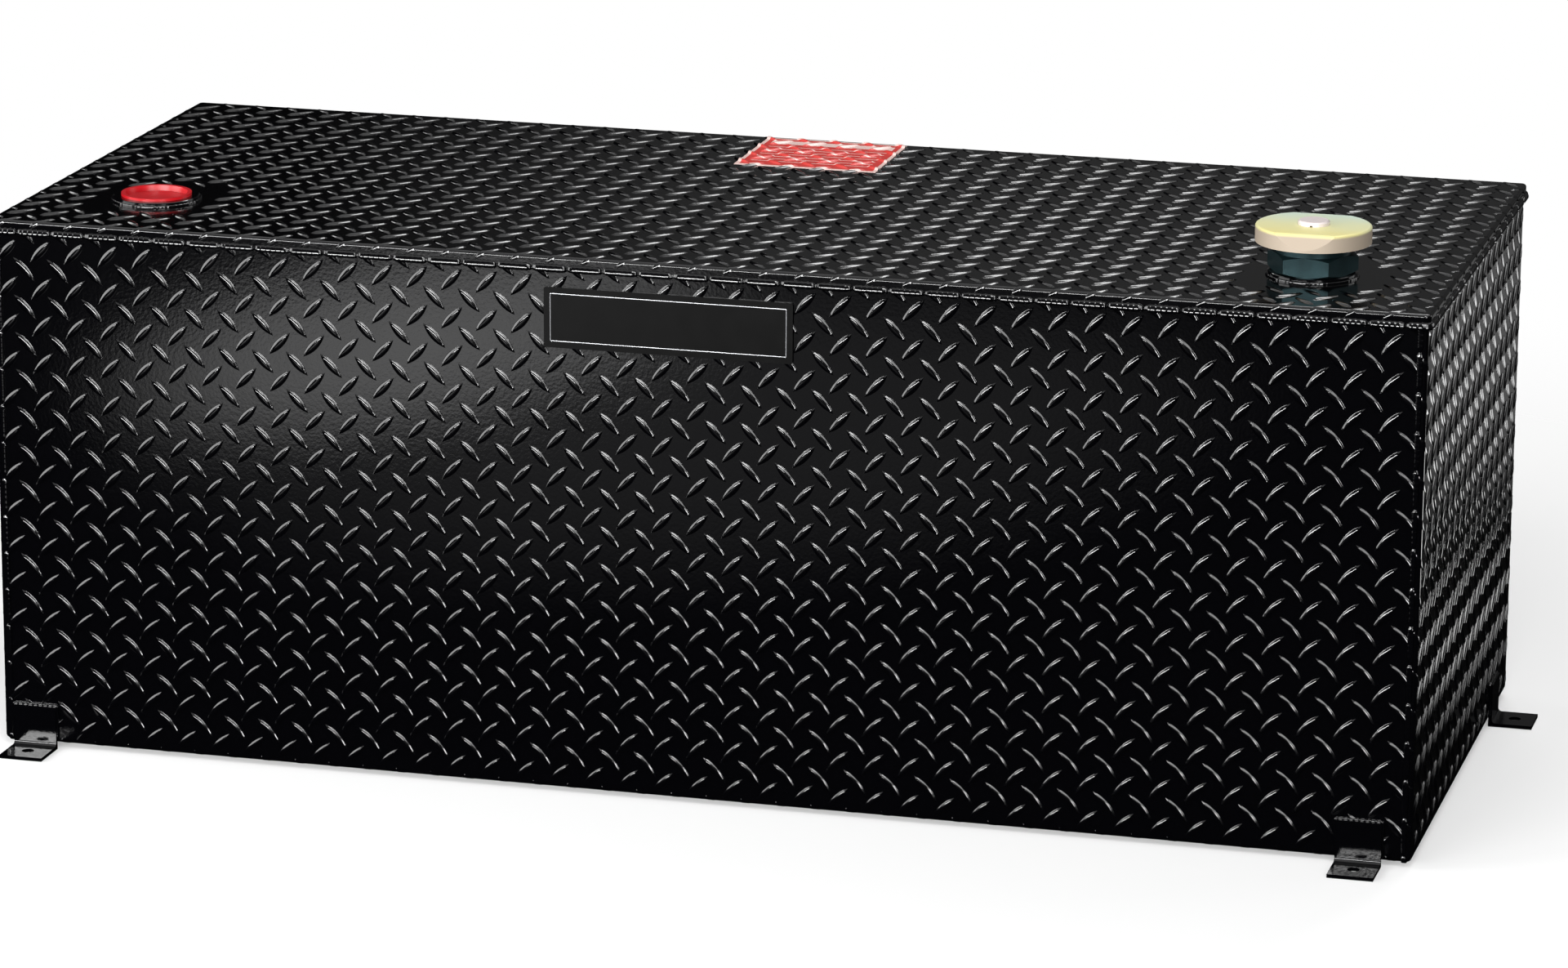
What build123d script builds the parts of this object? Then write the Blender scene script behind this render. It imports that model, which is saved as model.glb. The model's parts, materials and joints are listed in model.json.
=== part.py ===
from build123d import *
import os

# Truck bed transfer tank: a welded tread plate fuel tank with a bayonet fill cap, a plugged
# pump bung, two inner baffles and four hold-down brackets.
# Millimetres, +X to the right, -Y to the front, +Z up. The origin is on the floor, in the middle
# of the outer box.

# Driving dimensions of the tank
tank_length = 1219.2
tank_depth = 508.0
tank_height = 457.2
sheet = 2.0
bend_radius = 4.0
lip_height = 10.0
lip_edge_radius = 2.5
lip_corner_radius = 3.0
end_lip = 6.0
end_edge_radius = 3.5

# Tread on the front sheet: low lozenges with pointed ends that lean by turns
tread_pitch_x = 30.2
tread_pitch_z = 32.3
tread_start_x = 13.5
tread_start_z = 25.8
tread_height = 1.5
tread_margin = 2.0
lozenge_length = 25.6
lozenge_width = 5.8
lozenge_lean = 46.0

# Hold-down brackets, cut from rolled angle
angle_leg = 38.1
angle_thickness = 3.2
angle_width = 38.1
angle_root_radius = 3.2
foot_hole_radius = 5.25
floor_gap = 5.7
front_left_inset = 9.7
front_right_inset = 24.0
rear_inset = 63.0

# Baffles
baffle_flange = 20.0
baffle_bend_radius = 3.0
baffle_corner_cut = 55.0
flow_hole_radius = 75.0
flow_hole_lip = 8.0
compartments = 3

# Bungs in the top
bung_radius = 36.5
bung_bore = 28.6
bung_height = 22.0
bung_stand = 4.0
bung_front = 112.0
pump_bung_inset = 106.0
fill_bung_inset = 114.0
bung_chamfer = 0.5

# Fill adapter and its bayonet ring
hex_flats = 65.0
hex_height = 16.0
hex_chamfer = 3.0
hex_chamfer_reach = 6.0
spigot_length = 15.0
adapter_bore = 23.0
chamber_radius = 28.0
chamber_wall = 3.0
chamber_floor = 14.0
chamber_top = 27.0
ring_thickness = 2.4
ring_hole = 20.5
notch_reach = 27.2
notch_width = 15.0
ramp_start = 20.0
ramp_end = 87.0
ramp_low = 1.3
ramp_middle_drop = 0.8
ramp_tilt = 2.0
stop_angle = 7.0
stop_drop = 3.2

# Fill cap
cap_radius = 47.5
cap_skirt = 14.0
cap_wall = 1.6
cap_edge_radius = 2.0
facet_top = 40.0
facet_drop = 12.0
seal_thickness = 1.2
gasket_thickness = 2.5
spring_height = 3.0
spring_wall = 0.8
spring_outer = 17.0
spring_inner = 8.5
spring_foot = 1.5
ear_thickness = 1.6
ear_width = 13.0
ear_reach = 26.6
sleeve_radius = 7.0
rivet_radius = 4.0
rivet_head_radius = 8.0
rivet_head = 1.5
rivet_tail_radius = 7.0
vent_radius = 1.0
button_radius = 13.0
button_height = 3.6
button_wall = 1.2
button_slots = 4
button_slot_width = 2.4

# Red plug
plug_flange_radius = 30.0
plug_flange = 2.2
plug_wall = 1.8
plug_draft = 1.0
plug_dish = 4.7
plug_length = 13.0

# Plate and label
plate_length = 212.0
plate_height = 51.0
plate_thickness = 2.0
plate_offset = -17.0
plate_drop = 51.2
plate_border = 5.0
border_width = 1.0
border_depth = 0.4
label_length = 128.0
label_depth = 115.0
label_thickness = 0.5
label_offset = -5.5
label_back_margin = 4.0
corner_radius = 2.0

# Weld beads
seam_bead = 1.8
seam_bead_drop = 2.8
end_bead_width = 3.0
end_bead = 1.0
bung_bead = 3.4
bracket_bead = 2.0
bead_slope = 26.0

# Clearances: beads stand clear of curved faces, running parts clear of each other
weld_gap = 0.1
fit_gap = 0.3

# Levels and places that follow from the sizes above
tank_y = (angle_leg - sheet) / 2
tank_bottom = floor_gap
lid_top = tank_bottom + tank_height
lid_under = lid_top - sheet
lip_bottom = lid_top - lip_height
wall_height = lid_under - tank_bottom
wall_middle = (lid_under + tank_bottom) / 2
front_face = tank_y - tank_depth / 2
bung_y = front_face + bung_front
pump_x = -tank_length / 2 + pump_bung_inset
fill_x = tank_length / 2 - fill_bung_inset
seat = lid_top + bung_stand
plate_z = lid_top - plate_drop
front_left_x = -tank_length / 2 + front_left_inset + angle_width / 2
front_right_x = tank_length / 2 - front_right_inset - angle_width / 2
rear_y = front_face + tank_depth - rear_inset - angle_width / 2
bead_top = lip_bottom - seam_bead_drop - weld_gap

# Heights in the cap stack, from the bung's face up
ring_top = seat + chamber_top + ring_thickness
gasket_top = ring_top + gasket_thickness
seal_top = gasket_top + seal_thickness
shell_under = seal_top + spring_height + fit_gap
shell_top = shell_under + cap_wall
ear_top = seat + chamber_top - ramp_low - fit_gap
ear_under = ear_top - ear_thickness

front_plane = Plane(origin=(0, front_face, 0), x_dir=(1, 0, 0), z_dir=(0, -1, 0))
fill_axis = Axis((fill_x, bung_y, 0), (0, 0, 1))
pump_axis = Axis((pump_x, bung_y, 0), (0, 0, 1))
fill_section = Plane(origin=(fill_x, bung_y, 0), x_dir=(1, 0, 0), z_dir=(0, -1, 0))
pump_section = Plane(origin=(pump_x, bung_y, 0), x_dir=(1, 0, 0), z_dir=(0, -1, 0))

os.makedirs("parts", exist_ok=True)


def fill_level(height):
    # A flat plane across the fill cap's axis at the given height
    return Plane(origin=(fill_x, bung_y, height))


def save(builder, name):
    builder.part.label = name
    export_step(builder.part, f"parts/{name}.step")


# Where the front sheet isn't open for the tread: middle and half size of the plate and brackets
tread_gaps = [(plate_offset, plate_z, plate_length / 2, plate_height / 2)]
for bracket_x in (front_left_x, front_right_x):
    tread_gaps.append((bracket_x, 0, angle_width / 2 + bracket_bead, angle_leg + bracket_bead))
field_half_length = tank_length / 2 - end_lip - end_bead_width / 2
field_bottom = tank_bottom + bend_radius


def tread_fits(x, z, lean):
    # True where a lozenge lies on the open sheet from tip to tip
    tip = Vector(lozenge_length / 2, 0).rotate(Axis.Z, lean)
    for share in (-1, -0.5, 0, 0.5, 1):
        point_x = x + share * tip.X
        point_z = z + share * tip.Y
        if abs(point_x) > field_half_length or not field_bottom < point_z < bead_top:
            return False
        for middle_x, middle_z, half_x, half_z in tread_gaps:
            off_x = abs(point_x - middle_x) - half_x
            off_z = abs(point_z - middle_z) - half_z
            if max(off_x, off_z) < tread_margin:
                return False
    return True


tread_places = []
for column in range(int(tank_length / tread_pitch_x) + 1):
    for row in range(int(tank_height / tread_pitch_z) + 1):
        for half_step, lean in ((0, lozenge_lean), (0.5, -lozenge_lean)):
            x = -tank_length / 2 + tread_start_x + (column + half_step) * tread_pitch_x
            z = lid_top - tread_start_z - (row + half_step) * tread_pitch_z
            if tread_fits(x, z, lean):
                tread_places.append(front_plane.location * Location((x, z, 0), (0, 0, lean)))

# One lozenge, rising from its four edges to a point
with BuildPart() as lozenge:
    with BuildSketch() as lozenge_outline:
        Polygon(
            (-lozenge_length / 2, 0),
            (0, -lozenge_width / 2),
            (lozenge_length / 2, 0),
            (0, lozenge_width / 2),
            align=None,
        )
    loft(sections=[lozenge_outline.face(), Vertex(0, 0, tread_height)])

# Front, bottom and back: one sheet of tread plate folded to a U
with BuildPart() as body_wrap:
    with BuildSketch(Plane.YZ):
        with BuildLine():
            FilletPolyline(
                (front_face, lid_under),
                (front_face, tank_bottom),
                (front_face + tank_depth, tank_bottom),
                (front_face + tank_depth, lid_under),
                radius=bend_radius,
            )
            offset(amount=sheet, side=Side.LEFT)
        make_face()
    extrude(amount=tank_length / 2 - end_lip, both=True)
    with Locations(*tread_places):
        add(lozenge.part)
save(body_wrap, "body_wrap")

# End panels: pans with a short lip all round that butts against the wrap
for name, side in (("left_end", -1), ("right_end", 1)):
    with BuildPart() as end_pan:
        with BuildSketch(Plane.YZ.offset(side * (tank_length / 2 - end_lip))):
            with Locations((tank_y, wall_middle)):
                RectangleRounded(tank_depth, wall_height, bend_radius)
        extrude(amount=side * end_lip)
        outward = Axis((0, 0, 0), (side, 0, 0))
        fillet(end_pan.faces().sort_by(outward)[-1].edges(), end_edge_radius)
        with BuildSketch(Plane.YZ.offset(side * (tank_length / 2 - end_lip))):
            with Locations((tank_y, wall_middle)):
                RectangleRounded(tank_depth - 2 * sheet, wall_height - 2 * sheet, bend_radius - sheet)
        extrude(amount=side * (end_lip - sheet), mode=Mode.SUBTRACT)
    save(end_pan, name)

# Top sheet with its lip folded down over the walls
with BuildPart() as top_plate:
    with BuildSketch(Plane.XY.offset(lip_bottom)):
        with Locations((0, tank_y)):
            RectangleRounded(tank_length + 2 * sheet, tank_depth + 2 * sheet, lip_corner_radius + sheet)
    extrude(amount=lip_height)
    fillet(top_plate.faces().sort_by(Axis.Z)[-1].edges(), lip_edge_radius)
    with BuildSketch(Plane.XY.offset(lip_bottom)):
        with Locations((0, tank_y)):
            RectangleRounded(tank_length, tank_depth, lip_corner_radius)
    extrude(amount=lip_height - sheet, mode=Mode.SUBTRACT)
    with Locations((pump_x, bung_y, lid_top), (fill_x, bung_y, lid_top)):
        Hole(radius=bung_radius + weld_gap)
save(top_plate, "top_plate")

# Baffles: flanged plates with open corners and a plunged flow hole
inner_depth = tank_depth - 2 * sheet
inner_height = wall_height - sheet
inner_middle = (lid_under + tank_bottom + sheet) / 2
for name, index in (("baffle_left", 1), ("baffle_right", 2)):
    baffle_x = -tank_length / 2 + index * tank_length / compartments
    with BuildPart() as baffle:
        with BuildSketch(Plane.YZ.offset(baffle_x)):
            with Locations((tank_y, inner_middle)):
                Rectangle(inner_depth, inner_height)
        extrude(amount=baffle_flange)
        fillet(baffle.faces().sort_by(Axis.X)[0].edges(), baffle_bend_radius)
        with BuildSketch(Plane.YZ.offset(baffle_x + sheet)):
            with Locations((tank_y, inner_middle)):
                Rectangle(inner_depth - 2 * sheet, inner_height - 2 * sheet)
        extrude(amount=baffle_flange, mode=Mode.SUBTRACT)
        with BuildSketch(Plane.YZ.offset(baffle_x)):
            with Locations((tank_y, inner_middle)):
                with GridLocations(inner_depth, inner_height, 2, 2):
                    Rectangle(baffle_corner_cut, baffle_corner_cut, rotation=45)
            with Locations((tank_y, inner_middle)):
                Circle(flow_hole_radius)
        extrude(amount=baffle_flange, mode=Mode.SUBTRACT)
        with BuildSketch(Plane.YZ.offset(baffle_x)):
            with Locations((tank_y, inner_middle)):
                Circle(flow_hole_radius + sheet)
                Circle(flow_hole_radius, mode=Mode.SUBTRACT)
        extrude(amount=flow_hole_lip)
    save(baffle, name)

# Bungs: pipe half couplings welded through the top
for name, centre_x in (("pump_bung", pump_x), ("fill_bung", fill_x)):
    with BuildPart() as bung:
        with BuildSketch(Plane.XY.offset(seat - bung_height)):
            with Locations((centre_x, bung_y)):
                Circle(bung_radius)
                Circle(bung_bore, mode=Mode.SUBTRACT)
        extrude(amount=bung_height)
        chamfer(bung.faces().sort_by(Axis.Z)[-1].edges(), bung_chamfer)
    save(bung, name)

# Fill adapter: a hexagon body with a spigot in the bung and a chamber for the cap's ears
with BuildPart() as fill_adapter:
    with BuildSketch(fill_level(seat)):
        RegularPolygon(radius=hex_flats / 2, side_count=6, major_radius=False, rotation=0)
    extrude(amount=hex_height)
    with BuildSketch(fill_section):
        with BuildLine():
            Polyline(
                (0, seat),
                (hex_flats / 2, seat),
                (hex_flats / 2 + hex_chamfer_reach, seat + hex_chamfer),
                (hex_flats / 2 + hex_chamfer_reach, seat + hex_height - hex_chamfer),
                (hex_flats / 2, seat + hex_height),
                (0, seat + hex_height),
                close=True,
            )
        make_face()
    revolve(axis=fill_axis, mode=Mode.INTERSECT)
    with BuildSketch(fill_section):
        with BuildLine():
            Polyline(
                (0, seat - spigot_length),
                (bung_bore - fit_gap, seat - spigot_length),
                (bung_bore - fit_gap, seat + hex_height),
                (chamber_radius + chamber_wall, seat + hex_height),
                (chamber_radius + chamber_wall, seat + chamber_top),
                (0, seat + chamber_top),
                close=True,
            )
        make_face()
    revolve(axis=fill_axis)
    with BuildSketch(fill_level(seat - spigot_length)):
        Circle(adapter_bore)
    extrude(amount=spigot_length + chamber_top, mode=Mode.SUBTRACT)
    with BuildSketch(fill_level(seat + chamber_floor)):
        Circle(chamber_radius)
    extrude(amount=chamber_top - chamber_floor, mode=Mode.SUBTRACT)
save(fill_adapter, "fill_adapter")

# Bayonet ring in the adapter's mouth: two notches, two cam ramps that slope down, and two stops
ramp_middle = -(ramp_start + ramp_end) / 2
ramp_reach = chamber_radius - fit_gap
with BuildPart() as cam_ramp:
    with BuildSketch(fill_level(seat + chamber_top)):
        with BuildLine():
            inner_arc = CenterArc((0, 0), ring_hole, -ramp_end, ramp_end - ramp_start)
            outer_arc = CenterArc((0, 0), ramp_reach, -ramp_end, ramp_end - ramp_start)
            Line(inner_arc @ 0, outer_arc @ 0)
            Line(inner_arc @ 1, outer_arc @ 1)
        make_face()
    extrude(amount=-ramp_low)
    ramp_axis = fill_level(seat + chamber_top - ramp_middle_drop).rotated((0, 0, ramp_middle))
    split(bisect_by=ramp_axis.rotated((ramp_tilt, 0, 0)), keep=Keep.TOP)
    with BuildSketch(fill_level(seat + chamber_top)):
        with BuildLine():
            inner_stop = CenterArc((0, 0), ring_hole, -ramp_end - stop_angle, stop_angle)
            outer_stop = CenterArc((0, 0), ramp_reach, -ramp_end - stop_angle, stop_angle)
            Line(inner_stop @ 0, outer_stop @ 0)
            Line(inner_stop @ 1, outer_stop @ 1)
        make_face()
    extrude(amount=-stop_drop)

with BuildPart() as bayonet_ring:
    with BuildSketch(fill_level(seat + chamber_top)):
        Circle(chamber_radius + chamber_wall)
    extrude(amount=ring_thickness)
    with BuildSketch(fill_level(seat + chamber_top)):
        Circle(notch_reach)
        Rectangle(2 * notch_reach, notch_width, mode=Mode.INTERSECT)
        Circle(ring_hole)
    extrude(amount=ring_thickness, mode=Mode.SUBTRACT)
    add(cam_ramp.part)
    add(cam_ramp.part.rotate(fill_axis, 180))
save(bayonet_ring, "bayonet_ring")

# Cap shell: a pressed cup, upside down, with a sloping grip facet at the front and at the back
with BuildPart() as cap_shell:
    with BuildSketch(fill_level(shell_top - cap_skirt)):
        Circle(cap_radius)
    extrude(amount=cap_skirt)
    with BuildSketch(Plane(origin=(fill_x, bung_y, shell_top), x_dir=(0, 1, 0), z_dir=(1, 0, 0))):
        for way in (-1, 1):
            with BuildLine():
                Polyline(
                    (way * facet_top, 0),
                    (way * cap_radius, -facet_drop),
                    (way * cap_radius, 0),
                    close=True,
                )
            make_face()
    extrude(amount=cap_radius, both=True, mode=Mode.SUBTRACT)
    fillet(cap_shell.edges().group_by(Axis.Z)[-1], cap_edge_radius)
    offset(amount=-cap_wall, openings=cap_shell.faces().sort_by(Axis.Z)[0])
    with Locations((fill_x, bung_y, shell_top)):
        Hole(radius=rivet_radius + fit_gap)
save(cap_shell, "cap_shell")

# Breather button: a shallow cup over the rivet's head, open at slots round its foot
with BuildPart() as vent_button:
    with BuildSketch(fill_level(shell_top)):
        Circle(button_radius)
    extrude(amount=button_height)
    chamfer(vent_button.faces().sort_by(Axis.Z)[-1].edges(), button_wall)
    with BuildSketch(fill_level(shell_top)):
        Circle(button_radius - button_wall)
    extrude(amount=button_height - button_wall, mode=Mode.SUBTRACT)
    with BuildSketch(fill_level(shell_top)):
        with PolarLocations(button_radius, button_slots):
            Rectangle(4 * button_wall, button_slot_width)
    extrude(amount=button_wall, mode=Mode.SUBTRACT)
save(vent_button, "vent_button")

# Sleeve between the shell and the ears
with BuildPart() as cap_sleeve:
    with BuildSketch(fill_level(ear_top)):
        Circle(sleeve_radius)
        Circle(rivet_radius + fit_gap, mode=Mode.SUBTRACT)
    extrude(amount=shell_under - ear_top)
save(cap_sleeve, "cap_sleeve")

# Locking ears: a flat strip whose round tips pass the ring's notches
with BuildPart() as ear_plate:
    with BuildSketch(fill_level(ear_under)):
        Circle(ear_reach)
        Rectangle(2 * ear_reach, ear_width, mode=Mode.INTERSECT)
        Circle(rivet_radius + fit_gap, mode=Mode.SUBTRACT)
    extrude(amount=ear_thickness)
save(ear_plate, "ear_plate")

# Hollow rivet on which the cap turns: head, shank, tail and vent bore
with BuildPart() as cap_rivet:
    with BuildSketch(fill_section):
        with BuildLine():
            Polyline(
                (vent_radius, ear_under - fit_gap - rivet_head),
                (rivet_tail_radius, ear_under - fit_gap - rivet_head),
                (rivet_tail_radius, ear_under - fit_gap),
                (rivet_radius, ear_under - fit_gap),
                (rivet_radius, shell_top + fit_gap),
                (rivet_head_radius, shell_top + fit_gap),
                (rivet_head_radius, shell_top + fit_gap + rivet_head),
                (vent_radius, shell_top + fit_gap + rivet_head),
                close=True,
            )
        make_face()
    revolve(axis=fill_axis)
save(cap_rivet, "cap_rivet")

# Gasket on the ring and the disc that presses it down
with BuildPart() as gasket:
    with BuildSketch(fill_level(ring_top)):
        Circle(chamber_radius + chamber_wall - fit_gap)
        Circle(ring_hole + fit_gap, mode=Mode.SUBTRACT)
    extrude(amount=gasket_thickness)
save(gasket, "gasket")

with BuildPart() as seal_disc:
    with BuildSketch(fill_level(gasket_top)):
        Circle(chamber_radius + chamber_wall)
        Circle(sleeve_radius + fit_gap, mode=Mode.SUBTRACT)
    extrude(amount=seal_thickness)
save(seal_disc, "seal_disc")

# Coned spring washer with flat feet, between the seal disc and the shell
with BuildPart() as spring_washer:
    with BuildSketch(fill_section):
        with BuildLine():
            Polyline(
                (spring_outer, seal_top),
                (spring_outer - spring_foot, seal_top),
                (spring_inner + spring_foot, seal_top + spring_height - spring_wall),
                (spring_inner, seal_top + spring_height - spring_wall),
                (spring_inner, seal_top + spring_height),
                (spring_inner + spring_foot, seal_top + spring_height),
                (spring_outer - spring_foot, seal_top + spring_wall),
                (spring_outer, seal_top + spring_wall),
                close=True,
            )
        make_face()
    revolve(axis=fill_axis)
save(spring_washer, "spring_washer")

# Red plug in the pump bung: a flange on the bung's face, a dished floor and a hollow shank
plug_radius = bung_bore - fit_gap
with BuildPart() as bung_plug:
    with BuildSketch(pump_section):
        with BuildLine():
            Polyline(
                (0, seat + plug_flange - plug_dish),
                (plug_radius - plug_wall - plug_draft, seat + plug_flange - plug_dish),
                (plug_radius - plug_wall, seat + plug_flange),
                (plug_flange_radius, seat + plug_flange),
                (plug_flange_radius, seat),
                (plug_radius, seat),
                (plug_radius, seat - plug_length),
                (plug_radius - plug_wall, seat - plug_length),
                (plug_radius - plug_wall - plug_draft, seat + plug_flange - plug_dish - plug_wall),
                (0, seat + plug_flange - plug_dish - plug_wall),
                close=True,
            )
        make_face()
    revolve(axis=pump_axis)
save(bung_plug, "bung_plug")

# Hold-down angles: each plane stands on the floor at the wall, looking along the angle
bracket_sections = {
    "front_left": Plane(origin=(front_left_x, front_face, 0), x_dir=(0, -1, 0), z_dir=(-1, 0, 0)),
    "front_right": Plane(origin=(front_right_x, front_face, 0), x_dir=(0, -1, 0), z_dir=(-1, 0, 0)),
    "rear_left": Plane(origin=(-tank_length / 2, rear_y, 0), x_dir=(-1, 0, 0), z_dir=(0, 1, 0)),
    "rear_right": Plane(origin=(tank_length / 2, rear_y, 0), x_dir=(1, 0, 0), z_dir=(0, -1, 0)),
}
for name, section in bracket_sections.items():
    with BuildPart() as bracket:
        with BuildSketch(section):
            with BuildLine():
                Polyline(
                    (0, 0),
                    (angle_leg, 0),
                    (angle_leg, angle_thickness),
                    (angle_thickness, angle_thickness),
                    (angle_thickness, angle_leg),
                    (0, angle_leg),
                    close=True,
                )
            make_face()
        extrude(amount=angle_width / 2, both=True)
        long_edges = bracket.edges().filter_by(Axis(section.origin, section.z_dir))
        root_point = Vertex(section.from_local_coords((angle_thickness, angle_thickness, 0)))
        fillet(long_edges.sort_by_distance(root_point)[0], angle_root_radius)
        foot_plane = Plane(
            origin=section.from_local_coords(((angle_leg + angle_thickness) / 2, angle_thickness, 0)),
            z_dir=(0, 0, 1),
        )
        with Locations(foot_plane):
            Hole(radius=foot_hole_radius)
    save(bracket, f"bracket_{name}")

# Welds round the brackets: a bead up each side of the upright and across its top
with BuildPart() as bracket_welds:
    weld_height = angle_leg - tank_bottom - bend_radius
    for section in bracket_sections.values():
        wall = Plane(
            origin=section.from_local_coords((0, tank_bottom + bend_radius, 0)),
            x_dir=-section.z_dir,
            z_dir=section.x_dir,
        )
        with BuildSketch(wall):
            Rectangle(
                angle_width + 2 * bracket_bead,
                weld_height + bracket_bead,
                align=(Align.CENTER, Align.MIN),
            )
        extrude(amount=bracket_bead, taper=bead_slope)
        with BuildSketch(wall):
            Rectangle(
                angle_width + 2 * weld_gap,
                weld_height + weld_gap,
                align=(Align.CENTER, Align.MIN),
            )
        extrude(amount=bracket_bead, mode=Mode.SUBTRACT)
save(bracket_welds, "bracket_welds")

# Bare plate on the front with a fine border groove
plate_plane = Plane(origin=(plate_offset, front_face, plate_z), x_dir=(1, 0, 0), z_dir=(0, -1, 0))
with BuildPart() as name_plate:
    with BuildSketch(plate_plane):
        RectangleRounded(plate_length, plate_height, corner_radius)
    extrude(amount=plate_thickness)
    with BuildSketch(plate_plane.offset(plate_thickness)):
        Rectangle(plate_length - 2 * plate_border, plate_height - 2 * plate_border)
        Rectangle(
            plate_length - 2 * plate_border - 2 * border_width,
            plate_height - 2 * plate_border - 2 * border_width,
            mode=Mode.SUBTRACT,
        )
    extrude(amount=-border_depth, mode=Mode.SUBTRACT)
save(name_plate, "name_plate")

# Bare red label on the top, by the back edge
label_y = front_face + tank_depth - label_back_margin - label_depth / 2
with BuildPart() as caution_label:
    with BuildSketch(Plane.XY.offset(lid_top)):
        with Locations((label_offset, label_y)):
            RectangleRounded(label_length, label_depth, corner_radius)
    extrude(amount=label_thickness)
save(caution_label, "caution_label")

# Weld bead under the lip, all round the tank
with BuildPart() as top_seam_weld:
    with BuildSketch(Plane.XY.offset(lip_bottom)):
        with Locations((0, tank_y)):
            RectangleRounded(
                tank_length + 2 * seam_bead, tank_depth + 2 * seam_bead, end_edge_radius + seam_bead
            )
    extrude(amount=-seam_bead_drop, taper=bead_slope)
    with BuildSketch(Plane.XY.offset(lip_bottom - seam_bead_drop)):
        with Locations((0, tank_y)):
            RectangleRounded(
                tank_length + 2 * weld_gap, tank_depth + 2 * weld_gap, end_edge_radius + weld_gap
            )
    extrude(amount=seam_bead_drop, mode=Mode.SUBTRACT)
save(top_seam_weld, "top_seam_weld")

# Weld beads where the end pans meet the wrap: up the front, along the bottom and up the back
for name, side in (("left_seam_weld", -1), ("right_seam_weld", 1)):
    with BuildPart() as end_weld:
        with BuildSketch(Plane.YZ.offset(side * (tank_length / 2 - end_lip) - end_bead_width / 2)):
            with BuildLine():
                FilletPolyline(
                    (front_face - end_bead, bead_top),
                    (front_face - end_bead, tank_bottom - end_bead),
                    (front_face + tank_depth + end_bead, tank_bottom - end_bead),
                    (front_face + tank_depth + end_bead, bead_top),
                    radius=bend_radius + end_bead,
                )
                offset(amount=end_bead - weld_gap, side=Side.LEFT)
            make_face()
        extrude(amount=end_bead_width)
    save(end_weld, name)

# Weld beads round the two bungs
for name, section, axis in (
    ("pump_bung_weld", pump_section, pump_axis),
    ("fill_bung_weld", fill_section, fill_axis),
):
    with BuildPart() as bung_weld:
        with BuildSketch(section):
            with BuildLine():
                Polyline(
                    (bung_radius + weld_gap, lid_top),
                    (bung_radius + bung_bead, lid_top),
                    (bung_radius + weld_gap, lid_top + bung_bead),
                    close=True,
                )
            make_face()
        revolve(axis=axis)
    save(bung_weld, name)
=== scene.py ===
import json
import math

import bpy
import numpy as np
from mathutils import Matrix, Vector


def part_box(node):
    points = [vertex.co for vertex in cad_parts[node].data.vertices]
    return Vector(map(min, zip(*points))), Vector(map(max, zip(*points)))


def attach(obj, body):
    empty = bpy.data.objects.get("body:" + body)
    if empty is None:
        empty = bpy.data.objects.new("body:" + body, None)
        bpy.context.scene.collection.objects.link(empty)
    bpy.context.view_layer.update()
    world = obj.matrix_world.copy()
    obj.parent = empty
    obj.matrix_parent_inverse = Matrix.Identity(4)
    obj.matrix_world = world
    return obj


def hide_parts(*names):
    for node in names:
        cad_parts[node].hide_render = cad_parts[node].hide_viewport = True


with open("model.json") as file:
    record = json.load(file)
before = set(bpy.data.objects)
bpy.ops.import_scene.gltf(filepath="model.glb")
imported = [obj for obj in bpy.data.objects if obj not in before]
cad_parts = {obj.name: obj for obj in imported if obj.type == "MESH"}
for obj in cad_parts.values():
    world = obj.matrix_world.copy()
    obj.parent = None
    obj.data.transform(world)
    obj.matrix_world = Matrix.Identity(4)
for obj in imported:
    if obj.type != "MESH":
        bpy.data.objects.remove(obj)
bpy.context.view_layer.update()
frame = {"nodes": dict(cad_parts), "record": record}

bl_info = {
    "name": "Truck bed transfer tank",
    "version": (1, 0, 0),
    "blender": (4, 5, 0),
    "location": "3D View > Sidebar > Tank",
    "description": "Tread, welds, finishes and studio for a welded fuel transfer tank",
    "category": "Object",
}

MM = 0.001

WRAP_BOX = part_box("body_wrap")
END_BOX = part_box("right_end")
TOP_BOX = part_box("top_plate")
PLATE_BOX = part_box("name_plate")
LABEL_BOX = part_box("caution_label")

# Sizes that the frame gives: the sheet is as thick as the lip stands out past the end pans
TANK_LENGTH = END_BOX[1].x * 2
SHEET_THICKNESS = TOP_BOX[1].x - END_BOX[1].x
TANK_BACK = TOP_BOX[1].y - SHEET_THICKNESS
TANK_FRONT = TOP_BOX[0].y + SHEET_THICKNESS
TANK_DEPTH = TANK_BACK - TANK_FRONT
TANK_MIDDLE_Y = (TANK_BACK + TANK_FRONT) / 2
TANK_BOTTOM = WRAP_BOX[0].z
LID_TOP = TOP_BOX[1].z
LIP_BOTTOM = TOP_BOX[0].z

# The lid's first row of lozenges, from its middle line, which the label repeats
TOP_FIRST_ROW = 6 * MM
# Steps of a bead's path in each of its ripples
SEAM_STEPS, BRACKET_STEPS = 5, 6
# Angles over which a bead in a square corner shows, with a little more to sink its rims
CORNER_BEAD = (-0.1, math.pi / 2 + 0.1)
# Corners of the round floor and cards
RING_STEPS = 96
# What the lamps' directions are seen from: about half-way up the tank
LAMP_CENTRE = (0, 0, 0.25)


def linear(hex_colour):
    """sRGB hex to the linear colour that a shader takes."""
    channels = [int(hex_colour[i:i + 2], 16) / 255 for i in (1, 3, 5)]
    return tuple(c / 12.92 if c <= 0.04045 else ((c + 0.055) / 1.055) ** 2.4 for c in channels)


def length_property(name, description, default):
    """A length in metres, shown in the scene's unit."""
    return bpy.props.FloatProperty(
        name=name, description=description, default=default, min=0, subtype="DISTANCE", unit="LENGTH"
    )


def colour_property(name, description, hex_colour):
    """A colour that a user may change."""
    return bpy.props.FloatVectorProperty(
        name=name, description=description, default=linear(hex_colour), size=3, min=0, max=1, subtype="COLOR"
    )


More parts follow.
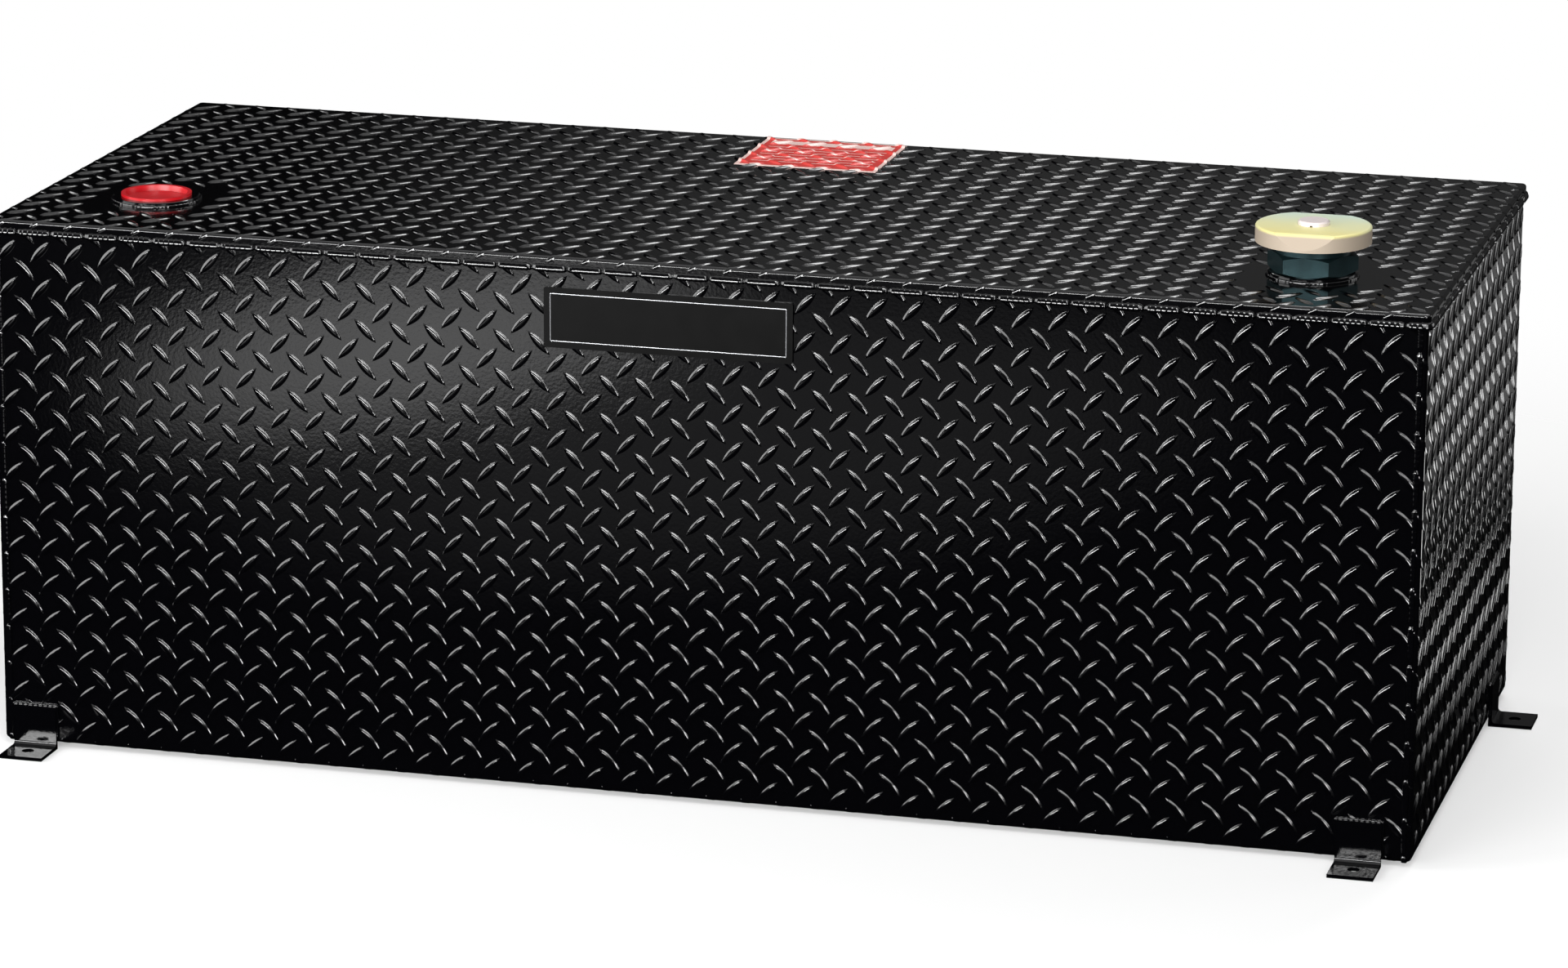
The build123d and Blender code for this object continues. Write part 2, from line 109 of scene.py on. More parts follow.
class TankTreadSettings(bpy.types.PropertyGroup):
    """Sizes of the rolled tread pattern"""

    pitch_x: length_property("Pitch along", "Step between like lozenges along the tank", 30.2 * MM)
    pitch_y: length_property("Pitch across", "Step between like lozenges across the sheet", 32.3 * MM)
    lozenge_length: length_property("Lozenge length", "From tip to tip", 28.5 * MM)
    lozenge_width: length_property("Lozenge width", "Across the middle", 7.8 * MM)
    height: length_property("Height", "How far a lozenge stands up", 1.4 * MM)
    flank: length_property("Flank", "Width of the sloping rim round the flat top", 2.6 * MM)
    sink: length_property("Sink", "How deep the rim is set into the sheet", 0.15 * MM)
    lean: bpy.props.FloatProperty(
        name="Lean", description="Angle of a lozenge to the tank's length", default=math.radians(46),
        subtype="ANGLE", unit="ROTATION",
    )
    start_x: length_property("First column", "From the tank's left end to the first lozenge", 13.5 * MM)
    start_z: length_property("First row", "From the tank's top down to the first lozenge", 25.8 * MM)
    press_width: length_property("Press width", "How far from a fold the tread is flattened", 7 * MM)
    press_share: bpy.props.FloatProperty(
        name="Press share", description="Share of its height that the tread keeps in a fold", default=0.25,
        min=0, max=1,
    )
    bare_radius: length_property("Bare ring", "Smooth patch round each bung", 50 * MM)


class TankWeldSettings(bpy.types.PropertyGroup):
    """Sizes of the weld beads"""

    ripple_pitch: length_property("Ripple pitch", "Step between two ripples of a bead", 4.5 * MM)
    stitch_gap: length_property("Stitch gap", "From a lozenge under the lip back to the gap", 5 * MM)
    seam_bead: length_property("Seam bead", "Radius of the bead under the lip", 3.3 * MM)
    end_bead: length_property("End bead", "Half width of the beads up the ends", 2.4 * MM)
    bung_bead: length_property("Bung bead", "Radius of the beads round the bungs", 2.0 * MM)
    bracket_bead: length_property("Bracket bead", "Radius of the beads round the brackets", 2.0 * MM)


class TankFinishSettings(bpy.types.PropertyGroup):
    """Colours of the finishes"""

    powder_coat: colour_property("Powder coat", "Gloss black coat of the tank", "#020203")
    red_cap: colour_property("Plug", "Moulded plug in the pump bung", "#B00A16")
    red_label: colour_property("Label", "Printed film on the top", "#C8322C")
    label_ink: colour_property("Label border", "Pale border and band of the label", "#E9C9C2")
    chromate_yellow: colour_property("Chromate yellow", "Yellow of the zinc chromate", "#DBCF86")
    chromate_blue: colour_property("Chromate blue", "Blue-green of the zinc chromate", "#BACDC2")
    chromate_pink: colour_property("Chromate pink", "Pink of the cap's rim", "#A99B8A")
    dark_zinc: colour_property("Dark zinc", "Hexagon body under the cap", "#1F3235")


class TankStudioSettings(bpy.types.PropertyGroup):
    """Floor, lamps and camera"""

    camera_place: bpy.props.FloatVectorProperty(
        name="Camera", description="Where the camera stands", default=(1.3524, -4.97695, 1.6067),
        subtype="TRANSLATION", unit="LENGTH",
    )
    camera_yaw: bpy.props.FloatProperty(
        name="Yaw", description="Turn to the left of the depth axis", default=math.radians(15.09),
        subtype="ANGLE",
    )
    camera_pitch: bpy.props.FloatProperty(
        name="Pitch", description="Tilt below the horizon", default=math.radians(15.08), subtype="ANGLE"
    )
    camera_roll: bpy.props.FloatProperty(
        name="Roll", description="Turn about the line of sight", default=math.radians(-0.33), subtype="ANGLE"
    )
    focal_length: bpy.props.FloatProperty(
        name="Focal length", description="Lens in millimetres on a 36 mm sensor", default=142.3
    )
    floor_colour: colour_property("Floor", "Plain pale floor", "#FDFDFD")
    fade_start: length_property("Fade start", "Where the floor begins to fade into the background", 0.75)
    fade_end: length_property("Fade end", "Where the floor has gone", 1.8)
    floor_clearness: bpy.props.FloatProperty(
        name="Clearness", description="How much white shows through the floor beside the tank", default=0.35,
        min=0, max=1,
    )
    # The cards are seen only in reflections: the lying one paints dark reflections, and the standing one
    # glows as a painted reflection.
    flag_colour: colour_property("Card", "Black felt of the cards that reflections see", "#101010")
    flag_radius: length_property("Card radius", "How far round the tank the cards reach", 4.6)
    flag_height: length_property("Card height", "How high the standing card is", 3.6)
    # The standing card glows, and only reflections see it: a painted reflection.
    standing_brightness: bpy.props.FloatProperty(
        name="Card brightness", description="Light of the standing card, where 1 is white", default=0.07,
        min=0,
    )


# Meshes


def sheet_fold(t, half, radius):
    """A sheet folded down at both edges. t runs across the flat sheet from its middle, half is
    from the middle to the folded sheet's outer face and radius is the bend's. Returns the place
    sideways, the drop, and the sine and cosine of the turn. In the bend the turn is
    (|t| - flat) / radius, the place is flat + radius sin and the drop radius (1 - cos)."""
    flat = half - radius
    turn = np.clip((np.abs(t) - flat) / radius, 0, math.pi / 2)
    past = np.maximum(np.abs(t) - flat - radius * math.pi / 2, 0)
    place = np.minimum(np.abs(t), flat) + radius * np.sin(turn)
    drop = radius * (1 - np.cos(turn)) + past
    return np.sign(t) * place, drop, np.sign(t) * np.sin(turn), np.cos(turn)


def folded_points(points, sheet):
    """Points (along, across, height) on a flat sheet, carried onto the folded one. sheet gives
    its middle, the three directions and, for each way, half its size and its bend's radius."""
    along, along_drop, along_sin, along_cos = sheet_fold(points[..., 0], *sheet["along"])
    across, across_drop, across_sin, across_cos = sheet_fold(points[..., 1], *sheet["across"])
    height = points[..., 2]
    a = along + height * along_sin
    b = across + height * across_sin
    c = height * along_cos * across_cos - along_drop - across_drop
    origin, first, second, up = (np.array(v, float) for v in sheet["frame"])
    return origin + a[..., None] * first + b[..., None] * second + c[..., None] * up


def mesh_piece(name, points, quads, triangles=None, material=None, smooth_angle=40, body="tank"):
    """A mesh from arrays of points, quads and triangles, which rides on a body."""
    triangles = np.zeros((0, 3), int) if triangles is None else triangles
    mesh = bpy.data.meshes.new(name)
    corners = np.concatenate([quads.ravel(), triangles.ravel()]).astype(np.int32)
    sizes = np.concatenate([np.full(len(quads), 4), np.full(len(triangles), 3)]).astype(np.int32)
    starts = np.concatenate([[0], np.cumsum(sizes)[:-1]]).astype(np.int32)
    mesh.vertices.add(len(points))
    mesh.vertices.foreach_set("co", points.astype(np.float32).ravel())
    mesh.loops.add(len(corners))
    mesh.loops.foreach_set("vertex_index", corners)
    mesh.polygons.add(len(sizes))
    mesh.polygons.foreach_set("loop_start", starts)
    mesh.update(calc_edges=True)
    if mesh.validate():
        raise RuntimeError(f"{name}: the mesh has faulty faces")
    mesh.shade_smooth()
    mesh.set_sharp_from_angle(angle=math.radians(smooth_angle))
    piece = bpy.data.objects.new(name, mesh)
    bpy.context.scene.collection.objects.link(piece)
    piece.data.materials.append(material)
    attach(piece, body)
    return piece


def grid_quads(rows, columns, close_rows=False, close_columns=False):
    """Faces of a grid of points. A way that is closed joins its last line to its first."""
    row = np.arange(rows if close_rows else rows - 1)[:, None]
    column = np.arange(columns if close_columns else columns - 1)[None, :]
    next_row = (row + 1) % rows
    next_column = (column + 1) % columns
    corners = [row * columns + column, row * columns + next_column,
               next_row * columns + next_column, next_row * columns + column]
    return np.stack(corners, -1).reshape(-1, 4)


def carried_bead(path, sideways, upward, profile, closed):
    """A closed profile carried along a path. A point is path + a sideways + b upward, where the
    profile gives a and b at each step. Open paths end in flat caps of quads. Faces point out
    where sideways, upward and the way along the path turn right-handed."""
    a, b = profile[..., 0, None], profile[..., 1, None]
    points = path[:, None] + a * sideways[:, None] + b * upward[:, None]
    steps, corners = points.shape[:2]
    quads = grid_quads(steps, corners, close_rows=closed, close_columns=True)
    if not closed:
        first = np.arange(corners // 2 - 1)
        cap = np.stack([first, first + 1, corners - 2 - first, corners - 1 - first], -1)
        quads = np.concatenate([quads, cap[:, ::-1], cap + (steps - 1) * corners])
    return points.reshape(-1, 3), quads


def rounded_loop(half_x, half_y, radius, step):
    """A rounded rectangle as points, outward directions and length along it, anticlockwise. Each
    corner is an arc of its own centre, and each side is divided into steps."""
    points, normals = [], []
    for turn, (sign_x, sign_y) in enumerate(((1, 1), (-1, 1), (-1, -1), (1, -1))):
        centre = np.array([sign_x * (half_x - radius), sign_y * (half_y - radius)])
        count = max(4, int(radius * math.pi / 2 / step) + 2)
        angle = np.linspace(0, math.pi / 2, count) + turn * math.pi / 2
        normal = np.stack([np.cos(angle), np.sin(angle)], -1)
        points.append(centre + radius * normal)
        normals.append(normal)
        side = 2 * ((half_x if turn % 2 == 0 else half_y) - radius)
        share = np.linspace(0, 1, max(2, int(side / step)) + 1)[1:-1, None]
        forward = np.array([-normal[-1][1], normal[-1][0]])
        points.append(points[-1][-1] + share * side * forward)
        normals.append(np.repeat(normal[-1:], len(share), 0))
    points, normals = np.concatenate(points), np.concatenate(normals)
    lengths = np.linalg.norm(np.roll(points, -1, 0) - points, axis=1)
    return points, normals, np.concatenate([[0], np.cumsum(lengths)[:-1]])


def bead_section(lengths, size, ripple_pitch, angles, seed, stitch=None, tilt=0):
    """The section of a weld bead along its path: an arc about the line that the bead follows,
    closed at that line. At an angle a its radius is 1 / (|cos|^4 + |sin|^4)^(1/4) of a - tilt,
    so it has a flattened face square to the tilt. It swells once in each ripple, as
    0.92 + 0.1 |sin| of the length, and wanders by 0.03 of the sum of three slow sines of it. Where
    the bead is laid in short stitches, stitch gives how far through its own stitch each point is,
    as a share s past the last whole number, and the bead sinks at both ends as
    0.3 + 0.7 (1 - |2 s - 1|^10)."""
    spans, arc_points = (19 * MM, 47 * MM, 110 * MM), 13
    random = np.random.default_rng(seed)
    phases = random.uniform(0, 2 * math.pi, len(spans))
    wander = sum(np.sin(lengths / span + phase) for span, phase in zip(spans, phases))
    swell = 0.92 + 0.1 * np.abs(np.sin(math.pi * lengths / ripple_pitch)) + 0.03 * wander
    if stitch is not None:
        swell *= 0.3 + 0.7 * (1 - np.abs(2 * (stitch % 1) - 1) ** 10)
    angle = np.linspace(*angles, arc_points)
    reach = (np.cos(angle - tilt) ** 4 + np.sin(angle - tilt) ** 4) ** -0.25
    arc = np.stack([size[0] * reach * np.cos(angle), size[1] * reach * np.sin(angle)], -1)
    arc = swell[:, None, None] * arc
    return np.concatenate([arc, np.zeros((len(lengths), 1, 2))], 1)


# Tread pattern


def lozenge_rise(settings, inset):
    """Height of a lozenge at a distance inside its rim: with s the share of the flank's width,
    up to 1, it is the full height times 1 - (1 - s)^1.3: a nearly straight flank, a flat top."""
    share = np.clip(inset / settings.flank, 0, 1)
    return (settings.height + settings.sink) * (1 - (1 - share) ** 1.3) - settings.sink


def lozenge_template(settings):
    """One lozenge as points and faces. Over u from tip to tip and v from side to side, a point is
    (length u / 2, width (1 - u^2) v / 2), and its height follows from its distance to the rim,
    (1 - |v|) width (1 - u^2) / 2. The rim is sunk into the sheet and the underside is flat."""
    u = np.linspace(-1, 1, 9)[1:-1, None]
    v = np.array([-1, -0.72, -0.42, 0, 0.42, 0.72, 1])[None, :]
    half_width = settings.lozenge_width / 2 * (1 - u ** 2)
    rise = lozenge_rise(settings, (1 - np.abs(v)) * half_width)
    body = np.broadcast_arrays(settings.lozenge_length / 2 * u, half_width * v, rise)
    body = np.stack(body, -1).reshape(-1, 3)
    tips = np.array([[-1, 0, 0], [1, 0, 0]]) * settings.lozenge_length / 2 - (0, 0, settings.sink)
    points = np.concatenate([body, tips])
    rows, columns = u.size, v.size
    sides = columns - 1
    start_tip, end_tip = len(body), len(body) + 1
    top = grid_quads(rows, columns)[:, ::-1]
    row = np.arange(rows - 1) * columns
    under = np.stack([row, row + sides, row + columns + sides, row + columns], -1)[:, ::-1]
    side = np.arange(sides)
    last = (rows - 1) * columns
    start_fan = np.stack([side, np.full(sides, start_tip), side + 1], -1)
    end_fan = np.stack([last + side + 1, np.full(sides, end_tip), last + side], -1)
    closing = np.array([[sides, start_tip, 0], [last, end_tip, last + sides]])
    return points, np.concatenate([top, under]), np.concatenate([start_fan, end_fan, closing])


def lattice(settings, reach, phase, half_step):
    """Every place of one lattice that lies within reach of the sheet's middle, either way."""
    ways = []
    for limit, start, pitch in zip(reach, phase, (settings.pitch_x, settings.pitch_y)):
        first = (start + half_step * pitch) % pitch
        steps = np.arange(-math.ceil(limit / pitch) - 1, math.ceil(limit / pitch) + 1)
        ways.append(first + steps * pitch)
    x, y = np.meshgrid(*ways)
    return x.ravel(), y.ravel()


def kept_height(settings, t, half, radius, walls):
    """The share of its height that the tread keeps near a fold, where the press brake flattens
    it: press_share in the fold and all of it from press_width on, by 3 s^2 - 2 s^3 of the share s
    of that width. A lip past the fold stays flat, and walls that carry tread themselves rise
    again beyond it."""
    bend_start = half - radius
    bend_end = bend_start + radius * math.pi / 2
    away = bend_start - np.abs(t)
    if walls:
        away = np.maximum(away, np.abs(t) - bend_end)
    share = np.clip(away / settings.press_width, 0, 1)
    return settings.press_share + (1 - settings.press_share) * share * share * (3 - 2 * share)


def lozenge_field(settings, sheet, phase, is_open):
    """All lozenges of one sheet. Two lattices of the same pitch, half a step apart both ways,
    hold lozenges that lean one way and the other. is_open tells which places are kept."""
    template, quads, triangles = lozenge_template(settings)
    pieces = []
    for half_step, lean in ((0, sheet["lean"] * settings.lean), (0.5, -sheet["lean"] * settings.lean)):
        x, y = lattice(settings, sheet["reach"], phase, half_step)
        kept = is_open(x, y)
        x, y = x[kept], y[kept]
        turned_x = template[:, 0] * math.cos(lean) - template[:, 1] * math.sin(lean)
        turned_y = template[:, 0] * math.sin(lean) + template[:, 1] * math.cos(lean)
        flat_x, flat_y = x[:, None] + turned_x, y[:, None] + turned_y
        kept_share = kept_height(settings, flat_x, *sheet["along"], False)
        kept_share *= kept_height(settings, flat_y, *sheet["across"], sheet["walls"])
        height = np.where(template[:, 2] > 0, template[:, 2] * kept_share, template[:, 2])
        pieces.append(np.stack([flat_x, flat_y, height], -1))
    flat = np.concatenate(pieces)
    shift = (np.arange(len(flat)) * len(template))[:, None, None]
    points = folded_points(flat, sheet)
    return (points.reshape(-1, 3), (quads[None] + shift).reshape(-1, 4),
            (triangles[None] + shift).reshape(-1, 3))


def lozenge_height(settings, x, y, centres, leans):
    """How high the tread stands at the points x, y near lozenges at the given centres: the
    template's own formula, and the highest of them."""
    dx = x[:, None] - centres[None, :, 0]
    dy = y[:, None] - centres[None, :, 1]
    u = (dx * np.cos(leans) + dy * np.sin(leans)) / (settings.lozenge_length / 2)
    bulge = np.clip(1 - u ** 2, 0, 1)
    half_width = settings.lozenge_width / 2 * bulge
    away = np.abs(dy * np.cos(leans) - dx * np.sin(leans))
    return np.maximum(lozenge_rise(settings, half_width - away), 0).max(axis=1)


# Materials


def node(tree, kind, settings=None, **links):
    """Adds a node. settings are attributes, or values and outputs for its inputs by name or
    number, and links are outputs for its inputs by name."""
    added = tree.nodes.new(kind)
    for key, value in (settings or {}).items():
        if isinstance(key, str) and hasattr(added, key):
            setattr(added, key, value)
        elif isinstance(value, bpy.types.NodeSocket):
            tree.links.new(value, added.inputs[key])
        else:
            added.inputs[key].default_value = value
    for key, output in links.items():
        tree.links.new(output, added.inputs[key.replace("_", " ")])
    return added


def material(name, **values):
    """A material with one Principled shader, and its tree, shader and object coordinates."""
    made = bpy.data.materials.new(name)
    made.use_nodes = True
    tree = made.node_tree
    shader = tree.nodes["Principled BSDF"]
    for key, value in values.items():
        shader.inputs[key.replace("_", " ")].default_value = value
    place = node(tree, "ShaderNodeTexCoord").outputs["Object"]
    return made, tree, shader, place


def rgba(colour):
    return (*colour, 1)


def drifting_roughness(tree, shader, place, scale, low, high, detail=3):
    """Roughness between low and high, by a noise with scale cells to the metre."""
    noise = node(tree, "ShaderNodeTexNoise", {"Scale": scale, "Detail": detail}, Vector=place)
    level = node(tree, "ShaderNodeMapRange", {"To Min": low, "To Max": high}, Value=noise.outputs["Fac"])
    tree.links.new(level.outputs["Result"], shader.inputs["Roughness"])


def grained(tree, shader, place, scale, strength, depth, detail=2):
    """Bumps of a depth, by a noise with scale cells to the metre."""
    noise = node(tree, "ShaderNodeTexNoise", {"Scale": scale, "Detail": detail}, Vector=place)
    bump = node(
        tree, "ShaderNodeBump", {"Strength": strength, "Distance": depth}, Height=noise.outputs["Fac"]
    )
    tree.links.new(bump.outputs["Normal"], shader.inputs["Normal"])


def powder_coat(colour):
    """Polyester powder coat, sprayed and baked: deep gloss black with a faint orange peel. The
    peel's real cell is about 1 mm and is drawn at 3 mm, which the render can just hold. The gloss
    drifts over about 110 mm, as it does where the spray laps."""
    made, tree, shader, place = material(
        "gloss_black_powder_coat", Base_Color=rgba(colour), Roughness=0.1, IOR=1.5
    )
    grained(tree, shader, place, 330, 0.35, 0.2 * MM, detail=3)
    drifting_roughness(tree, shader, place, 9, 0.07, 0.14)
    return made


def mill_steel():
    """Cold-rolled sheet with its mill finish: grey metal with a grain along the rolling, drawn
    1.1 mm wide and 33 mm long, because the real one is too fine to show."""
    made, tree, shader, place = material(
        "cold_rolled_mill_steel", Base_Color=rgba(linear("#9A9B9D")), Metallic=1, Roughness=0.42
    )
    stretched = node(tree, "ShaderNodeMapping", {"Scale": (30, 900, 900)}, Vector=place)
    drifting_roughness(tree, shader, stretched.outputs["Vector"], 1, 0.32, 0.52)
    return made


def chromate_zinc(finish, centre):
    """Zinc plate with a yellow chromate: a pale metal whose colour drifts from yellow at the front
    to blue-green at the back, in clouds of about 36 mm, with pink on the turned-down rim. The
    plate's crystals are too fine to show and are drawn at 1.1 mm."""
    made, tree, shader, place = material("yellow_chromate_zinc", Metallic=0.25, Roughness=0.55)
    split = node(tree, "ShaderNodeSeparateXYZ", Vector=place)
    all_yellow, all_blue = centre[1] - 30 * MM, centre[1] + 38 * MM
    front_to_back = node(
        tree, "ShaderNodeMapRange", {"From Min": all_yellow, "From Max": all_blue}, Value=split.outputs["Y"]
    )
    clouds = node(tree, "ShaderNodeTexNoise", {"Scale": 28, "Detail": 2}, Vector=place)
    wobble = node(tree, "ShaderNodeMapRange", {"To Min": -0.12, "To Max": 0.28}, Value=clouds.outputs["Fac"])
    blueness = node(tree, "ShaderNodeMath", {
        "operation": "MULTIPLY_ADD", 0: front_to_back.outputs["Result"], 1: 0.8, 2: wobble.outputs["Result"],
    })
    face = node(tree, "ShaderNodeMix", {
        "data_type": "RGBA", 0: blueness.outputs[0], 6: rgba(finish.chromate_yellow),
        7: rgba(finish.chromate_blue),
    })
    rim_ends, face_starts = centre[2] - 3 * MM, centre[2] - 1 * MM
    rim = node(
        tree, "ShaderNodeMapRange", {"From Min": rim_ends, "From Max": face_starts}, Value=split.outputs["Z"]
    )
    colour = node(tree, "ShaderNodeMix", {
        "data_type": "RGBA", 0: rim.outputs["Result"], 6: rgba(finish.chromate_pink), 7: face.outputs[2],
    })
    tree.links.new(colour.outputs[2], shader.inputs["Base Color"])
    grained(tree, shader, place, 900, 0.06, 0.1 * MM)
    return made


def clear_zinc():
    """Bright zinc plate: nearly white metal with the faintest pink. Its crystals are too fine to
    show and are drawn at 1.4 mm."""
    made, tree, shader, place = material(
        "clear_zinc_plate", Base_Color=rgba(linear("#DDD2D0")), Metallic=0.35, Roughness=0.4
    )
    drifting_roughness(tree, shader, place, 700, 0.34, 0.48)
    return made


def dark_zinc(colour):
    """Cast iron body under a dark zinc passivate: teal-black with a grey-blue shine, in clouds of
    about 11 mm, over a fine cast grain of about 1 mm."""
    made, tree, shader, place = material("dark_passivated_cast_iron", Metallic=0.75, Roughness=0.34)
    clouds = node(tree, "ShaderNodeTexNoise", {"Scale": 90, "Detail": 4}, Vector=place)
    darker, lighter = [c * 0.55 for c in colour], [min(1, c * 1.6) for c in colour]
    mixed = node(tree, "ShaderNodeMix", {
        "data_type": "RGBA", 0: clouds.outputs["Fac"], 6: rgba(darker), 7: rgba(lighter),
    })
    tree.links.new(mixed.outputs[2], shader.inputs["Base Color"])
    grained(tree, shader, place, 1000, 0.2, 0.2 * MM, detail=3)
    return made


def moulded_plastic(name, colour, roughness, bump_strength):
    """Injection-moulded polyethylene: a soft even shine over a faint moulding texture, drawn at
    1.7 mm, because the real one is too fine to show."""
    made, tree, shader, place = material(
        name, Base_Color=rgba(colour), Roughness=roughness, IOR=1.51, Subsurface_Weight=0.05
    )
    grained(tree, shader, place, 600, bump_strength, 0.2 * MM)
    return made


def nitrile_rubber():
    """Moulded nitrile: dull dark grey with a grain of about 0.7 mm."""
    made, tree, shader, place = material(
        "moulded_nitrile_rubber", Base_Color=rgba(linear("#1D1D1E")), Roughness=0.7, IOR=1.52
    )
    grained(tree, shader, place, 1500, 0.15, 0.1 * MM)
    return made


def black_enamel():
    """Baked enamel on a flat plate: black, with a satin face that holds no clear reflection and
    whose shine drifts over about 17 mm."""
    made, tree, shader, place = material(
        "baked_black_enamel", Base_Color=rgba(linear("#030303")), Roughness=0.3, IOR=1.4,
        Specular_IOR_Level=0.2,
    )
    drifting_roughness(tree, shader, place, 60, 0.26, 0.34)
    return made


def bright_line():
    """Polished aluminium left bare as the plate's border line. Its scratches are too fine to show
    and are drawn as patches of about 1.2 mm."""
    made, tree, shader, place = material(
        "polished_aluminium_line", Base_Color=rgba(linear("#A9AAAD")), Metallic=1, Roughness=0.34
    )
    drifting_roughness(tree, shader, place, 800, 0.28, 0.4, detail=2)
    return made


def printed_vinyl(finish, low, high):
    """Screen-printed vinyl film: warm red with a pale border, a header band by the back edge and
    plain rules below it, under a clear satin face."""
    made, tree, shader, place = material("screen_printed_vinyl", Roughness=0.38, IOR=1.5)
    split = node(tree, "ShaderNodeSeparateXYZ", Vector=place)
    back = high.y

    def inside(margin_x, low_y, high_y):
        """1 where the place is more than margin_x from the sides and between the two levels."""
        side = node(tree, "ShaderNodeMath", {
            "operation": "SUBTRACT", 0: split.outputs["X"], 1: (low.x + high.x) / 2,
        })
        away = node(tree, "ShaderNodeMath", {"operation": "ABSOLUTE", 0: side.outputs[0]})
        all_true = 1.0
        for source, operation, value in (
            (away.outputs[0], "LESS_THAN", (high.x - low.x) / 2 - margin_x),
            (split.outputs["Y"], "GREATER_THAN", low_y),
            (split.outputs["Y"], "LESS_THAN", high_y),
        ):
            test = node(tree, "ShaderNodeMath", {"operation": operation, 0: source, 1: value}).outputs[0]
            product = node(tree, "ShaderNodeMath", {"operation": "MULTIPLY", 0: all_true, 1: test})
            all_true = product.outputs[0]
        return all_true

    border = 3.5 * MM
    header_margin, header_low, header_high = 8 * MM, 24 * MM, 10 * MM
    rule_margin, rule_width, rule_count, first_rule, rule_step = 10 * MM, 1.6 * MM, 7, 36, 10
    field = inside(border, low.y + border, back - border)
    bands = [inside(header_margin, back - header_low, back - header_high)]
    for index in range(rule_count):
        level = back - (first_rule + rule_step * index) * MM
        bands.append(inside(rule_margin, level, level + rule_width))
    pale = node(tree, "ShaderNodeMath", {"operation": "SUBTRACT", 0: 1.0, 1: field}).outputs[0]
    for band in bands:
        pale = node(tree, "ShaderNodeMath", {"operation": "MAXIMUM", 0: pale, 1: band}).outputs[0]
    colour = node(tree, "ShaderNodeMix", {
        "data_type": "RGBA", 0: pale, 6: rgba(finish.red_label), 7: rgba(finish.label_ink),
    })
    tree.links.new(colour.outputs[2], shader.inputs["Base Color"])
    return made


# Operators


class TANK_OT_wrap(bpy.types.Operator):
    """Folds the front, bottom and back from one sheet"""

    bl_idname = "tank.wrap"
    bl_label = "Folded wrap"

    def execute(self, context):
        """The section goes along the outer face and back along the inner one, a sheet's thickness
        inside it, and is carried from one end of the tank to the other."""
        behind_lip, bend_points = 8 * MM, 9
        sheet = wrap_sheet()
        half, radius = sheet["across"]
        edge = up_the_wall(sheet, LIP_BOTTOM + behind_lip)
        flat = half - radius
        bend = np.linspace(0, radius * math.pi / 2, bend_points)
        across = np.concatenate([[-edge], -flat - bend[::-1], flat + bend, [edge]])
        height = np.repeat([0, -SHEET_THICKNESS], len(across))
        across = np.concatenate([across, across[::-1]])
        section = folded_points(np.column_stack([0 * across, across, height]), sheet)[:, 1:]
        path = np.array([[x, 0, 0] for x in (WRAP_BOX[0].x, WRAP_BOX[1].x)])
        sideways, upward = np.tile([0.0, 1.0, 0.0], (2, 1)), np.tile([0.0, 0.0, 1.0], (2, 1))
        points, quads = carried_bead(path, sideways, upward, np.tile(section, (2, 1, 1)), False)
        piece = mesh_piece("wrap_sheet", points, quads, material=MATERIALS["powder_coat"])
        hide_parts("body_wrap")
        return {"FINISHED"}


def wrap_sheet():
    """The wrap as a flat sheet: along the tank, across its depth, and down from the bottom. It
    has no fold along the tank, so that fold lies far beyond the ends."""
    return {
        "frame": ((0, TANK_MIDDLE_Y, TANK_BOTTOM), (1, 0, 0), (0, 1, 0), (0, 0, -1)),
        "along": (10.0, 1.0),
        "across": (TANK_DEPTH / 2, 4 * MM),
        "walls": True,
        "lean": -1,
        "reach": (TANK_LENGTH / 2, TANK_DEPTH / 2 + LID_TOP - TANK_BOTTOM),
    }


def up_the_wall(sheet, level):
    """How far across the flat wrap a level on its wall lies: half the flat bottom, the bend's
    quarter circle and the wall above it."""
    half, radius = sheet["across"]
    return half - radius + radius * math.pi / 2 + (level - TANK_BOTTOM - radius)


def first_column(settings):
    """Where the first column of lozenges stands along the tank."""
    return -TANK_LENGTH / 2 + settings.start_x


